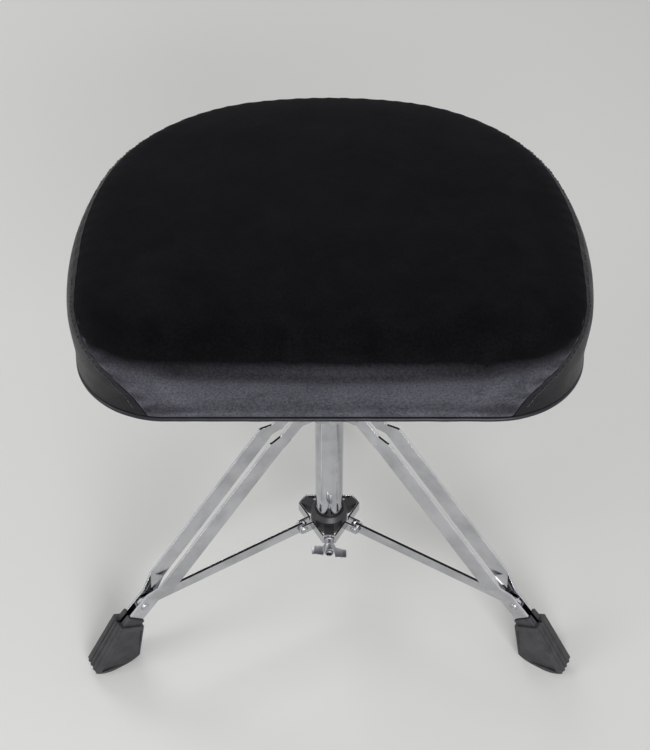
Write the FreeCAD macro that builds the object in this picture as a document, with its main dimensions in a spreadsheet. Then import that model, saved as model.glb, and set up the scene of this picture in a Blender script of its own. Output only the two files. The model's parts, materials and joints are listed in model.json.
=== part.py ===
"""Folding drum throne: saddle seat on a threaded spindle over a double-braced tripod.

Frame: millimetres, +Z up, origin on the column's axis at floor level. The sitter faces -Y.
The three legs point to azimuths 210, 330 and 90 degrees.
"""

import FreeCAD
import Part
import Sketcher
import math
import os

doc = FreeCAD.newDocument("DrumThrone")
sheet = doc.addObject("Spreadsheet::Sheet", "Sizes")


# ---------------------------------------------------------------- sizes and formulas

class Size:
    """A number together with the sheet formula that gives it."""

    def __init__(self, value, text):
        self.value = float(value)
        self.text = text

    def join(self, other, sign, result):
        return Size(result, f"({self.text} {sign} {other.text})")

    def __add__(self, other):
        other = as_size(other)
        return self.join(other, "+", self.value + other.value)

    def __radd__(self, other):
        return as_size(other) + self

    def __sub__(self, other):
        other = as_size(other)
        return self.join(other, "-", self.value - other.value)

    def __rsub__(self, other):
        return as_size(other) - self

    def __mul__(self, other):
        other = as_size(other)
        return self.join(other, "*", self.value * other.value)

    def __rmul__(self, other):
        return as_size(other) * self

    def __truediv__(self, other):
        other = as_size(other)
        return self.join(other, "/", self.value / other.value)

    def __neg__(self):
        return Size(-self.value, f"(0 - {self.text})")


def as_size(number):
    """Wrap a plain number, leave a Size alone."""
    return number if isinstance(number, Size) else Size(number, repr(float(number)))


def root(size):
    """Square root of a Size."""
    return Size(math.sqrt(size.value), f"sqrt({size.text})")


def size(alias, value, note):
    """Write one driving dimension into the sheet and return it as a Size."""
    size.row += 1
    sheet.set(f"A{size.row}", note)
    sheet.set(f"B{size.row}", str(value))
    sheet.setAlias(f"B{size.row}", alias)
    return Size(value, f"Sizes.{alias}")


size.row = 0


def derived(alias, formula, note):
    """Write a size that follows from others into the sheet, and return it."""
    size.row += 1
    sheet.set(f"A{size.row}", note)
    sheet.set(f"B{size.row}", "=" + formula.text.replace("Sizes.", ""))
    sheet.setAlias(f"B{size.row}", alias)
    return Size(formula.value, f"Sizes.{alias}")


# column
tube_radius = size("tube_radius", 14.6, "column outer radius")
tube_wall = size("tube_wall", 2.0, "column wall")
tube_bottom = size("tube_bottom", 68.0, "height of the column's lower end")
tube_rise = size("tube_rise", 36.0, "column above the leg pivots")
plug_depth = size("plug_depth", 14.0, "end plug inside the column")
plug_flange = size("plug_flange", 2.0, "end plug flange")
# fits
running = size("running_fit", 0.05, "radial clearance of a pin or shaft that turns")
sliding = size("sliding_fit", 0.3, "radial clearance of the collar on the column")
seating = size("seating_gap", 0.15, "gap between faces that move past each other")
# pivots, in the plane of a leg
hub_pivot_radius = size("hub_pivot_radius", 35.5, "leg pivot from the column axis")
hub_pivot_height = size("hub_pivot_height", 264.0, "leg pivot above the floor")
collar_pivot_radius = size("collar_pivot_radius", 33.5, "strut's inner pivot from the axis")
collar_height = size("collar_height", 82.0, "middle of the sliding collar above the floor")
foot_pivot_radius = size("foot_pivot_radius", 222.0, "strut's outer pivot from the axis")
foot_pivot_height = size("foot_pivot_height", 76.5, "strut's outer pivot above the floor")
# pivot rivets
hub_rivet_radius = size("hub_rivet_radius", 3.0, "shank of the leg pivot rivet")
link_rivet_radius = size("link_rivet_radius", 2.5, "shank of the strut rivets")
rivet_head_radius = size("rivet_head_radius", 4.2, "rivet head")
rivet_head_height = size("rivet_head_height", 2.0, "rivet head thickness")
# leg strips
strip_thickness = size("strip_thickness", 2.4, "steel strip of a leg")
strip_height = size("strip_height", 18.6, "web of a leg strip along its main run")
tab_height = size("tab_height", 15.0, "web of a leg strip at the hub")
toe_height = size("toe_height", 17.6, "web of a leg strip at the foot")
half_gap_leg = size("half_gap_leg", 9.9, "half the space between the two strips")
half_gap_hub = size("half_gap_hub", 7.3, "half the space between the strips at the hub")
half_gap_foot = size("half_gap_foot", 3.4, "half the space between the strips at the foot")
hub_joggle_start = size("hub_joggle_start", 25.0, "first joggle, from the leg pivot")
hub_joggle_end = size("hub_joggle_end", 35.0, "end of the first joggle")
foot_joggle_start = size("foot_joggle_start", 31.0, "second joggle, before the foot rivet")
foot_joggle_end = size("foot_joggle_end", 13.0, "end of the second joggle, before the rivet")
strip_rise = size("strip_rise", 6.5, "main run's offset from the pivot line at the hub end")
strip_drop = size("strip_drop", 1.5, "main run's offset from the pivot line at the foot end")
strip_tail = size("strip_tail", 40.0, "strip inside the foot, past the foot rivet")
head_margin = size("head_margin", 1.0, "strip blank left beyond its rounded head")
tab_lift = size("tab_lift", 1.0, "rise of the hub tab along its length")
bend_run = size("bend_run", 2.0, "side view's corners beyond the ends of the first joggle")
# rubber foot, in the plane of a leg; along and over are measured from the foot rivet,
# along the leg's pivot line and square to it
sole_radius = size("sole_radius", 31.0, "arc of the sole")
sole_offset = size("sole_offset", 38.5, "sole's lowest point, outward from the foot rivet")
sole_land = size("sole_land", 10.0, "flat at the lowest part of the sole, along the leg")
toe_offset = size("toe_offset", 65.8, "tip of the foot, outward from the foot rivet")
heel_offset = size("heel_offset", 16.0, "heel of the sole, outward from the foot rivet")
boot_back_along = size("boot_back_along", 19.3, "inner upper corner along the leg")
boot_back_under = size("boot_back_under", 13.9, "inner upper corner under the pivot line")
boot_top_along = size("boot_top_along", 27.0, "outer upper corner along the leg")
boot_top_over = size("boot_top_over", 12.5, "outer upper corner over the pivot line")
boot_toe_width = size("boot_toe_width", 25.0, "foot's width at the toe")
boot_top_width = size("boot_top_width", 20.0, "foot's width at its upper end")
boot_pocket_gap = size("boot_pocket_gap", 0.2, "rubber around the strip ends")
boot_neck_rise = size("boot_neck_rise", 7.0, "neck around the strips, above the upper end")
boot_neck_wall = size("boot_neck_wall", 1.6, "rubber of the neck")
boot_taper_reach = size("boot_taper_reach", 3.0, "taper cut past the foot's sides")
boot_slot_gap = size("boot_slot_gap", 0.5, "slot's clearance beside the swinging strut")
boot_slot_reach = size("boot_slot_reach", 30.5, "slot's floor past the foot rivet")
# struts
strut_thickness = size("strut_thickness", 3.0, "steel strip of a strut")
strut_height = size("strut_height", 12.6, "web of a strut")
spacer_radius = size("spacer_radius", 5.0, "spacer washers at the strut ends")
# collar
collar_plate = size("collar_plate", 2.0, "steel of the collar plates")
collar_plate_height = size("collar_plate_height", 12.0, "height of the collar plates")
collar_flat_half = size("collar_flat_half", 6.3, "half the flat middle of a collar plate")
collar_flat_distance = size("collar_flat_distance", 33.5, "flat middle from the axis")
collar_ear_start = size("collar_ear_start", 22.4, "start of an ear along its leg's plane")
collar_ear_end = size("collar_ear_end", 39.0, "end of an ear along its leg's plane")
bushing_radius = size("bushing_radius", 20.0, "nylon collar bushing")
bushing_lip = size("bushing_lip", 1.8, "bushing wall at its upper lip")
bushing_rise = size("bushing_rise", 14.0, "upper lip above the collar's middle")
bushing_shoulder = size("bushing_shoulder", 9.0, "start of the cone above the middle")
boss_root = size("boss_root", 1.0, "start of a boss inside the bushing's wall")
boss_inset = size("boss_inset", 0.2, "bosses inside the height of the plates")
nut_half = size("nut_half", 5.0, "half the captive nut across its flats")
nut_thickness = size("nut_thickness", 5.0, "captive nut")
nut_setback = size("nut_setback", 9.0, "captive nut behind the collar plate")
screw_room = size("screw_room", 0.2, "radial room of the wing bolt in the bushing")
plate_room = size("plate_room", 0.3, "radial room of the wing bolt in the plate")
boss_half = size("boss_half", 5.4, "half width of the bushing's three bosses")
# wing bolt
screw_radius = size("screw_radius", 3.0, "wing bolt thread")
wing_hub_radius = size("wing_hub_radius", 5.0, "wing bolt hub")
wing_span = size("wing_span", 18.5, "wing tip from the bolt axis")
wing_length = size("wing_length", 12.0, "wing along the bolt axis")
wing_plate = size("wing_plate", 2.0, "wing thickness")
wing_gap = size("wing_gap", 6.0, "bare thread between the collar plate and the wings")
wing_root = size("wing_root", 0.8, "start of a wing inside the hub's wall")
wing_tilt = size("wing_tilt", 12.0, "turn of the wings at rest, degrees")
# hub
hub_plate = size("hub_plate", 2.5, "steel of the hub plates")
hub_height = size("hub_height", 28.0, "height of the hub")
hub_flat_half = size("hub_flat_half", 11.0, "half the flat middle of a hub plate")
hub_flat_distance = size("hub_flat_distance", 19.2, "flat middle from the axis")
hub_ear_start = size("hub_ear_start", 21.0, "start of a hub ear along its leg's plane")
hub_ear_end = size("hub_ear_end", 42.0, "end of a hub ear along its leg's plane")
hub_sleeve_radius = size("hub_sleeve_radius", 17.0, "hub sleeve around the column")
clamp_bolt_radius = size("clamp_bolt_radius", 4.0, "hub clamp bolt")
clamp_bolt_flats = size("clamp_bolt_flats", 12.0, "clamp bolt across its flats")
clamp_bolt_head = size("clamp_bolt_head", 5.0, "clamp bolt head height")
clamp_bolt_drop = size("clamp_bolt_drop", 6.0, "clamp bolt below the hub's middle")
clamp_bolt_room = size("clamp_bolt_room", 0.2, "radial room of the bolt in the hub plate")
drill_past = size("drill_past", 4.0, "run of a drill past the wall that it goes through")
lug_root = size("lug_root", 0.6, "start of a hub lug inside the sleeve's wall")
lug_inset = size("lug_inset", 2.0, "hub lug's faces inside the ends of the hub plates")
# spindle
spindle_radius = size("spindle_radius", 11.0, "threaded spindle, outside of the thread")
spindle_drop = size("spindle_drop", 170.0, "spindle inside the column")
spindle_rise = size("spindle_rise", 20.0, "seat bearing's shoulder above the column's top")
spindle_chamfer = size("spindle_chamfer", 1.5, "chamfer at the spindle's lower end")
journal_radius = size("journal_radius", 8.0, "spindle inside the seat bearing")
journal_length = size("journal_length", 37.0, "journal above the shoulder")
nut_depth = size("nut_depth", 38.0, "spindle nut inside the column")
nut_flange = size("nut_flange", 6.0, "spindle nut flange")
nut_flange_radius = size("nut_flange_radius", 18.0, "spindle nut flange radius")
lock_ring_height = size("lock_ring_height", 9.0, "lock ring")
lock_ring_radius = size("lock_ring_radius", 20.0, "lock ring radius")
lock_lever_length = size("lock_lever_length", 34.0, "lock lever past the ring")
lock_lever_turn = size("lock_lever_turn", 35.0, "lever's resting azimuth, degrees")
lock_lever_radius = size("lock_lever_radius", 3.0, "lock lever")
# seat bearing and bracket
socket_radius = size("socket_radius", 17.0, "bracket socket, outside")
socket_wall = size("socket_wall", 2.0, "bracket socket wall")
socket_hang = size("socket_hang", 2.0, "bracket socket below the thrust washer")
washer_room = size("washer_room", 0.3, "radial room of the thrust washer in the socket")
washer_thickness = size("washer_thickness", 2.0, "thrust and retaining washers")
retaining_radius = size("retaining_radius", 12.0, "retaining washer radius")
retaining_bolt = size("retaining_bolt", 4.0, "retaining bolt thread")
retaining_depth = size("retaining_depth", 22.0, "retaining bolt in the spindle")
retaining_flats = size("retaining_flats", 12.8, "retaining bolt across its flats")
retaining_head = size("retaining_head", 5.0, "retaining bolt head height")
bracket_plate = size("bracket_plate", 4.0, "bracket plate")
bracket_half = size("bracket_half", 62.0, "half the bracket plate")
bracket_rib = size("bracket_rib", 4.0, "bracket rib thickness")
bracket_rib_reach = size("bracket_rib_reach", 50.0, "rib along the plate, from the axis")
bracket_rib_drop = size("bracket_rib_drop", 32.0, "rib down the socket")
bracket_rib_toe = size("bracket_rib_toe", 3.0, "height of a rib's outer end")
rib_root = size("rib_root", 1.0, "ribs' run into the socket's wall and the plate")
seat_bolt_half = size("seat_bolt_half", 48.0, "seat bolts from the axis along X and Y")
seat_bolt_radius = size("seat_bolt_radius", 3.0, "seat bolts")
seat_bolt_head = size("seat_bolt_head", 4.0, "seat bolt head height")
seat_bolt_short = size("seat_bolt_short", 1.0, "seat bolts end below the board's top")
seat_bolt_flats = size("seat_bolt_flats", 10.0, "seat bolts across their flats")
insert_radius = size("insert_radius", 4.2, "barrel of the board's threaded inserts")
insert_flange = size("insert_flange", 1.5, "flange of the threaded inserts")
insert_flange_radius = size("insert_flange_radius", 9.0, "flange radius of the inserts")
# seat
seat_rise = size("seat_rise", 77.0, "underside of the seat board above the column's top")
seat_depth = size("seat_depth", 93.0, "seat from the board's underside to its top")
seat_half = size("seat_half", 229.0, "half the seat's width")
seat_widest = size("seat_widest", 16.0, "the seat's widest place behind the column")
seat_back = size("seat_back", 245.0, "back of the seat behind the column")
seat_front = size("seat_front", 131.0, "front of the seat before the column")
side_arc = size("side_arc", 374.0, "arc of the seat's sides")
back_arc = size("back_arc", 418.0, "arc of the seat's back")
corner_arc = size("corner_arc", 188.0, "arc of the seat's back corners")
front_arc = size("front_arc", 82.0, "arc of the seat's front corners")
shoulder = size("shoulder", 36.0, "rounding of the seat's upper edge")
cover_thickness = size("cover_thickness", 2.0, "seat cover")
board_thickness = size("board_thickness", 12.0, "seat board")
board_gap = size("board_gap", 0.3, "between the board's edge and the cover")
seam_inset = size("seam_inset", 14.0, "seam of the top panel from the outline")
seam_foot_half = size("seam_foot_half", 142.0, "seam's lower end from the middle plane")
seam_knee_half = size("seam_knee_half", 207.0, "seam's bend from the middle plane")
seam_knee_rise = size("seam_knee_rise", 80.0, "seam's bend above the board's underside")
seam_front_depth = size("seam_front_depth", 40.0, "front panel's reach behind the front")
seam_margin = size("seam_margin", 5.0, "cutting form past the cover")
hem_width = size("hem_width", 26.0, "cover turned under the board")
hem_thickness = size("hem_thickness", 1.0, "cover under the board")
welt_radius = size("welt_radius", 2.3, "piping along the lower edge")
welt_inset = size("welt_inset", 2.4, "piping centre inside the outline")
dust_window = size("dust_window", 66.0, "half the dust cover's window for the bracket")

LEGS = {"left": 210.0, "right": 330.0, "rear": 90.0}
PLATES = {"front": 270.0, "left": 150.0, "right": 30.0}
HALF_SECTOR = 30.0
SIDES = (-1, 1)
HEX_SIDES = 6

tube_top = hub_pivot_height + tube_rise
spindle_bottom = tube_top - spindle_drop
spindle_shoulder = tube_top + spindle_rise
journal_top = spindle_shoulder + journal_length
seat_bottom = tube_top + seat_rise
seat_top = seat_bottom + seat_depth
seam_knee_height = seat_bottom + seam_knee_rise
leg_run = foot_pivot_radius - hub_pivot_radius
leg_fall = hub_pivot_height - foot_pivot_height
leg_length = root(leg_run * leg_run + leg_fall * leg_fall)
leg_slope = math.degrees(math.atan2(leg_fall.value, leg_run.value))
strut_run = foot_pivot_radius - collar_pivot_radius
strut_fall = collar_height - foot_pivot_height
strut_length = root(strut_run * strut_run + strut_fall * strut_fall)
strut_slope = math.degrees(math.atan2(strut_fall.value, strut_run.value))
ear_inner_face = half_gap_foot - 0.1
collar_ear = ear_inner_face + collar_plate / 2
hub_ear = half_gap_hub - seating - hub_plate / 2
hub_inner_face = hub_ear - hub_plate / 2
spacer_face = strut_thickness / 2 + seating
board_top = seat_bottom + board_thickness
side_x = derived("side_x", seat_half - side_arc, "centre of the side arc")
front_y = derived("front_y", front_arc - seat_front, "centre of the front arc")
front_reach = derived("front_reach", side_arc - front_arc, "between those centres")
front_drop = seat_widest - front_y
front_x = derived("front_x", side_x + root(front_reach * front_reach
                                           - front_drop * front_drop), "its centre")
back_y = derived("back_y", seat_back - back_arc, "centre of the back arc")
span_y = derived("span_y", back_y - seat_widest, "from the side's centre to the back's")
span = derived("span", root(side_x * side_x + span_y * span_y), "between those centres")
side_reach = derived("side_reach", side_arc - corner_arc, "side centre to corner centre")
back_reach = derived("back_reach", back_arc - corner_arc, "back centre to corner centre")
span_part = derived("span_part", (side_reach * side_reach - back_reach * back_reach
                                  + span * span) / (span * 2), "corner along the span")
span_off = derived("span_off", root(side_reach * side_reach - span_part * span_part),
                   "corner off the span")
corner_x = derived("corner_x", side_x - (side_x * span_part + span_y * span_off) / span,
                   "centre of the corner arc")
corner_y = derived("corner_y", seat_widest + (span_y * span_part - side_x * span_off)
                   / span, "centre of the corner arc")


# ---------------------------------------------------------------- drawing helpers

def origin_plane(body, role):
    """Return a body's own origin plane."""
    return next(item for item in body.Origin.OriginFeatures if item.Role == role)


def new_body(name):
    """Start a PartDesign body whose label is the sub-part's name."""
    body = doc.addObject("PartDesign::Body", name)
    body.Label = name
    return body


class Drawing:
    """A sketch on one of a body's origin planes, with every point bound to the sheet."""

    def __init__(self, body, name, plane="XY_Plane"):
        self.sketch = body.newObject("Sketcher::SketchObject", name)
        self.sketch.AttachmentSupport = [(origin_plane(body, plane), "")]
        self.sketch.MapMode = "FlatFace"

    def bind(self, kind, place, value):
        """Add one dimension and bind it to its formula."""
        value = as_size(value)
        index = self.sketch.addConstraint(self.constraint(kind, place, value.value))
        self.sketch.setExpression(f"Constraints[{index}]", value.text)

    @staticmethod
    def constraint(kind, place, value):
        """Make a Sketcher constraint of a kind at a geometry element."""
        return Sketcher.Constraint(kind, *place, value)

    def loop(self, corners):
        """Draw a closed loop. A corner is (x, y) or (x, y, radius): with a radius, an arc
        of that radius leads to the next corner, counter-clockwise when positive."""
        first = self.sketch.GeometryCount
        count = len(corners)
        for step, corner in enumerate(corners):
            after = corners[(step + 1) % count]
            start = FreeCAD.Vector(as_size(corner[0]).value, as_size(corner[1]).value, 0)
            end = FreeCAD.Vector(as_size(after[0]).value, as_size(after[1]).value, 0)
            if len(corner) == 2:
                self.sketch.addGeometry(Part.LineSegment(start, end), False)
            else:
                self.sketch.addGeometry(self.arc(start, end, corner[2].value), False)
        for step, corner in enumerate(corners):
            element = first + step
            turns_left = len(corner) == 2 or corner[2].value > 0
            start_point = 1 if turns_left else 2
            following = first + (step + 1) % count
            after = corners[(step + 1) % count]
            following_point = 1 if len(after) == 2 or after[2].value > 0 else 2
            joint = ("Coincident", element, 3 - start_point, following, following_point)
            self.sketch.addConstraint(Sketcher.Constraint(*joint))
            self.bind("DistanceX", (element, start_point), corner[0])
            self.bind("DistanceY", (element, start_point), corner[1])
            if len(corner) == 3 and self.is_semicircle(corner, after):
                self.bind("DistanceX", (element, 3), corner[0])
            elif len(corner) == 3:
                sign = 1 if turns_left else -1
                self.bind("Radius", (element,), corner[2] * sign)
        return self

    @staticmethod
    def is_semicircle(corner, after):
        """Whether an arc between two corners on a vertical line is a half circle."""
        rise = as_size(after[1]).value - as_size(corner[1]).value
        return abs(abs(rise) - 2 * abs(corner[2].value)) < 1e-6

    @staticmethod
    def arc(start, end, radius):
        """Make the minor arc from start to end, to the left when radius is positive."""
        chord = end - start
        half = chord.Length / 2
        reach = math.sqrt(max(radius * radius - half * half, 0.0))
        side = 1 if radius > 0 else -1
        normal = FreeCAD.Vector(-chord.y, chord.x, 0).normalize() * side
        centre = start + chord * 0.5 + normal * reach
        ends = (start, end) if radius > 0 else (end, start)
        angles = [math.atan2(point.y - centre.y, point.x - centre.x) for point in ends]
        circle = Part.Circle(centre, FreeCAD.Vector(0, 0, 1), abs(radius))
        return Part.ArcOfCircle(circle, angles[0], angles[1])

    def circle(self, x, y, radius):
        """Draw a bound circle."""
        centre = FreeCAD.Vector(as_size(x).value, as_size(y).value, 0)
        normal = FreeCAD.Vector(0, 0, 1)
        element = self.sketch.addGeometry(Part.Circle(centre, normal, radius.value), False)
        self.bind("DistanceX", (element, 3), x)
        self.bind("DistanceY", (element, 3), y)
        self.bind("Radius", (element,), radius)
        return self

    def box(self, x0, y0, x1, y1):
        """Draw a bound rectangle."""
        return self.loop([(x0, y0), (x1, y0), (x1, y1), (x0, y1)])


def pad(body, drawing, length, start=None, both=False, down=False):
    """Pad a drawing. start lifts it along the plane's normal, both pads to both sides."""
    feature = body.newObject("PartDesign::Pad", drawing.sketch.Name + "Pad")
    feature.Profile = drawing.sketch
    feature.setExpression("Length", as_size(length).text)
    feature.Midplane = both
    feature.Reversed = down
    if start is not None:
        drawing.sketch.setExpression("AttachmentOffset.Base.z", as_size(start).text)
    return feature


def pocket(body, drawing, length, start=None, both=False, down=True):
    """Cut a drawing out of a body. With both, the cut runs half its length each way."""
    feature = body.newObject("PartDesign::Pocket", drawing.sketch.Name + "Pocket")
    feature.Profile = drawing.sketch
    feature.setExpression("Length", as_size(length).text)
    feature.Midplane = both
    feature.Reversed = not down
    if start is not None:
        drawing.sketch.setExpression("AttachmentOffset.Base.z", as_size(start).text)
    return feature


def revolve(body, drawing, axis="Z_Axis"):
    """Turn a drawing on a vertical plane around one of the body's axes."""
    feature = body.newObject("PartDesign::Revolution", drawing.sketch.Name + "Turn")
    feature.Profile = drawing.sketch
    feature.ReferenceAxis = (origin_plane(body, axis), [""])
    feature.Angle = 360.0
    return feature


def turned(name, corners):
    """A body turned around Z from a half section of (radius, height) corners."""
    body = new_body(name)
    revolve(body, Drawing(body, name + "Section", "XZ_Plane").loop(corners))
    return body


def ring_section(inner, outer, low, high):
    """Corners of a plain ring's half section."""
    return [(inner, low), (outer, low), (outer, high), (inner, high)]


def hexagon(flats, x=0, y=0):
    """Corners of a hexagon of a given size across its flats."""
    corner = flats / math.sqrt(3)
    turns = [math.radians(60 * step) for step in range(HEX_SIDES)]
    return [(x + corner * math.cos(turn), y + corner * math.sin(turn)) for turn in turns]


def place(thing, position=(0, 0, 0), turns=()):
    """Set a Placement: turns are (axis, degrees) applied in order, then the position."""
    rotation = FreeCAD.Rotation()
    for axis, degrees in turns:
        rotation = FreeCAD.Rotation(FreeCAD.Vector(*axis), degrees).multiply(rotation)
    base = FreeCAD.Vector(*[as_size(value).value for value in position])
    thing.Placement = FreeCAD.Placement(base, rotation)


X_AXIS = (1, 0, 0)
Y_AXIS = (0, 1, 0)
Z_AXIS = (0, 0, 1)


def in_leg_plane(thing, azimuth, radius=0, height=0, dip=0):
    """Place a piece drawn along +X in a leg's plane: dip turns +X below the horizontal,
    then it moves out by radius and up by height, and turns to the leg's azimuth."""
    turn = math.radians(azimuth)
    reach = as_size(radius).value
    position = (reach * math.cos(turn), reach * math.sin(turn), height)
    place(thing, position, ((Y_AXIS, dip), (Z_AXIS, azimuth)))


subparts = []


def keep(thing, name=None):
    """Register a finished sub-part. Its label names its file."""
    if name:
        thing.Label = name
    subparts.append(thing)
    return thing


def fused(name, things, placement=None):
    """A Part::MultiFuse of several objects, as one sub-part."""
    whole = doc.addObject("Part::MultiFuse", name)
    whole.Shapes = things
    if placement:
        whole.Placement = placement
    return whole


def cut(name, base, tool):
    """A Part::Cut of two objects."""
    rest = doc.addObject("Part::Cut", name)
    rest.Base = base
    rest.Tool = tool
    return rest


def common(name, base, tool):
    """A Part::Common of two objects."""
    shared = doc.addObject("Part::Common", name)
    shared.Base = base
    shared.Tool = tool
    return shared


# ---------------------------------------------------------------- column and hub

def make_column():
    """Chrome tube, its plastic end plug and the spindle nut pressed into its top."""
    bore = tube_radius - tube_wall
    keep(turned("column_tube", ring_section(bore, tube_radius, tube_bottom, tube_top)))
    plug_low = tube_bottom - plug_flange
    keep(turned("column_end_plug", [
        (0, plug_low), (tube_radius, plug_low), (tube_radius, tube_bottom),
        (bore, tube_bottom), (bore, tube_bottom + plug_depth),
        (0, tube_bottom + plug_depth)]))
    nut_bore = spindle_radius + running
    keep(turned("spindle_nut", [
        (nut_bore, tube_top - nut_depth), (bore, tube_top - nut_depth), (bore, tube_top),
        (nut_flange_radius, tube_top), (nut_flange_radius, tube_top + nut_flange),
        (nut_bore, tube_top + nut_flange)]))


def bent_plate(name, azimuth, metal, height, middle, flat, ear_run, hole, screw=None):
    """A strip bent into a flat middle and two ears that lie along the neighbouring legs.

    flat is (half width, distance from the axis) of its middle, ear_run is (start, end,
    offset from the leg's plane) of an ear, and hole is (place along the ear, radius)."""
    half, distance = (value.value for value in flat)
    start, end, offset = (value.value for value in ear_run)
    lean = math.radians(HALF_SECTOR)
    along = FreeCAD.Vector(math.sin(lean), math.cos(lean), 0)
    across = FreeCAD.Vector(math.cos(lean), -math.sin(lean), 0)
    ear_points = [along * reach + across * offset for reach in (end, start)]
    right = [FreeCAD.Vector(distance, half, 0)]
    path = [ear_points[0], ear_points[1]] + right
    mirrored = [FreeCAD.Vector(point.x, -point.y, 0) for point in reversed(path)]
    path = path + mirrored
    outline = offset_line(path, metal.value / 2) + offset_line(path, -metal.value / 2)[::-1]
    low = middle.value - height.value / 2
    face = Part.Face(Part.makePolygon([point + FreeCAD.Vector(0, 0, low)
                                       for point in outline + outline[:1]]))
    solid = face.extrude(FreeCAD.Vector(0, 0, height.value))
    solid = round_ears(solid, ear_points[0], path[-1], metal.value, height.value)
    place_along, radius = (value.value for value in hole)
    for side in SIDES:
        aim = FreeCAD.Vector(across.x, side * across.y, 0)
        run = FreeCAD.Vector(along.x, side * along.y, 0)
        centre = run * place_along + aim * (offset - metal.value)
        centre.z = middle.value
        solid = solid.cut(Part.makeCylinder(radius, 2 * metal.value, centre, aim))
    if screw:
        screw_place, screw_size = (value.value for value in screw)
        centre = FreeCAD.Vector(distance - metal.value, 0, screw_place)
        solid = solid.cut(Part.makeCylinder(screw_size, 2 * metal.value, centre,
                                            FreeCAD.Vector(1, 0, 0)))
    plate = doc.addObject("Part::Feature", name)
    plate.Shape = solid
    place(plate, turns=((Z_AXIS, azimuth),))
    return keep(plate)


def offset_line(path, shift):
    """Move an open path sideways by shift, with mitred corners."""
    moved = []
    for step, point in enumerate(path):
        before = path[max(step - 1, 0)]
        after = path[min(step + 1, len(path) - 1)]
        ways = [way.normalize() for way in (point - before, after - point) if way.Length > 0]
        normals = [FreeCAD.Vector(-way.y, way.x, 0) for way in ways]
        middle = sum(normals[1:], normals[0]).normalize()
        moved.append(point + middle * (shift / middle.dot(normals[0])))
    return moved


def round_ears(solid, first_end, last_end, metal, height):
    """Round the free corners of both ears."""
    radius = height / 2 * 0.8
    corners = []
    for edge in solid.Edges:
        middle = edge.CenterOfMass
        flat_end = abs(edge.Length - metal) < 0.01 and len(edge.Vertexes) == 2
        level = abs(edge.Vertexes[0].Z - edge.Vertexes[-1].Z) < 0.01
        near = min(math.hypot(middle.x - end.x, middle.y - end.y)
                   for end in (first_end, last_end)) < 0.01
        if flat_end and level and near:
            corners.append(edge)
    return solid.makeFillet(radius, corners)


def make_hub():
    """Sleeve with three lugs on the column, three bent plates and the clamp bolt."""
    low = hub_pivot_height - hub_height / 2
    sleeve = turned("hub_sleeve_core",
                    ring_section(tube_radius, hub_sleeve_radius, low, low + hub_height))
    lug_inner = tube_radius + lug_root
    lug_outer = hub_ear_end - lug_inset
    lugs = []
    for name, azimuth in LEGS.items():
        lug = new_body(f"{name}_hub_lug")
        lug_height = hub_height - lug_inset * 2
        drawing = Drawing(lug, f"{name}_lug_side", "XZ_Plane")
        drawing.box(lug_inner, -lug_height / 2, lug_outer, lug_height / 2)
        drawing.circle(hub_pivot_radius, 0, hub_rivet_radius)
        pad(lug, drawing, hub_inner_face * 2, both=True)
        in_leg_plane(lug, azimuth, height=hub_pivot_height)
        lugs.append(lug)
    hub = fused("hub_sleeve_solid", [sleeve] + lugs)
    bolt_height = hub_pivot_height - clamp_bolt_drop
    bolt_way = FreeCAD.Rotation(FreeCAD.Vector(*X_AXIS), 90)
    drill = doc.addObject("Part::Cylinder", "hub_bolt_drill")
    drill.setExpression("Radius", clamp_bolt_radius.text)
    drill.setExpression("Height", (hub_sleeve_radius + drill_past).text)
    drill.Placement = FreeCAD.Placement(FreeCAD.Vector(0, 0, bolt_height.value), bolt_way)
    keep(cut("hub_sleeve", hub, drill))
    for name, azimuth in PLATES.items():
        drilled = name == "front"
        screw = (bolt_height, clamp_bolt_radius + clamp_bolt_room) if drilled else None
        bent_plate(f"{name}_hub_plate", azimuth, hub_plate, hub_height, hub_pivot_height,
                   (hub_flat_half, hub_flat_distance),
                   (hub_ear_start, hub_ear_end, hub_ear),
                   (hub_pivot_radius, hub_rivet_radius), screw)
    bolt = new_body("hub_clamp_bolt")
    seat_face = hub_flat_distance + hub_plate / 2
    shank = Drawing(bolt, "clamp_shank").circle(0, 0, clamp_bolt_radius)
    pad(bolt, shank, seat_face - tube_radius - running, start=tube_radius + running)
    head = Drawing(bolt, "clamp_head").loop(hexagon(clamp_bolt_flats))
    pad(bolt, head, clamp_bolt_head, start=seat_face)
    place(bolt, (0, 0, bolt_height), ((X_AXIS, 90),))
    keep(bolt)


def make_rivet(name, azimuth, radius, height, shank, grip):
    """A rivet across a leg's plane: a shank with a domed head on each side of its grip."""
    rim = rivet_head_height * 0.35
    top = grip + rivet_head_height
    crown = rivet_head_radius * 0.55
    corners = [(0, -top), (crown, -top), (rivet_head_radius, -(grip + rim)),
               (rivet_head_radius, -grip), (shank, -grip), (shank, grip),
               (rivet_head_radius, grip), (rivet_head_radius, grip + rim),
               (crown, top), (0, top)]
    rivet = turned(name, corners)
    in_leg_plane_across(rivet, azimuth, radius, height)
    return keep(rivet)


def in_leg_plane_across(thing, azimuth, radius, height):
    """Place a piece drawn along Z so that its axis lies across a leg's plane."""
    turn = math.radians(azimuth)
    reach = as_size(radius).value
    position = (reach * math.cos(turn), reach * math.sin(turn), height)
    place(thing, position, ((X_AXIS, 90), (Z_AXIS, azimuth)))


# ---------------------------------------------------------------- legs, feet and struts

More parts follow.
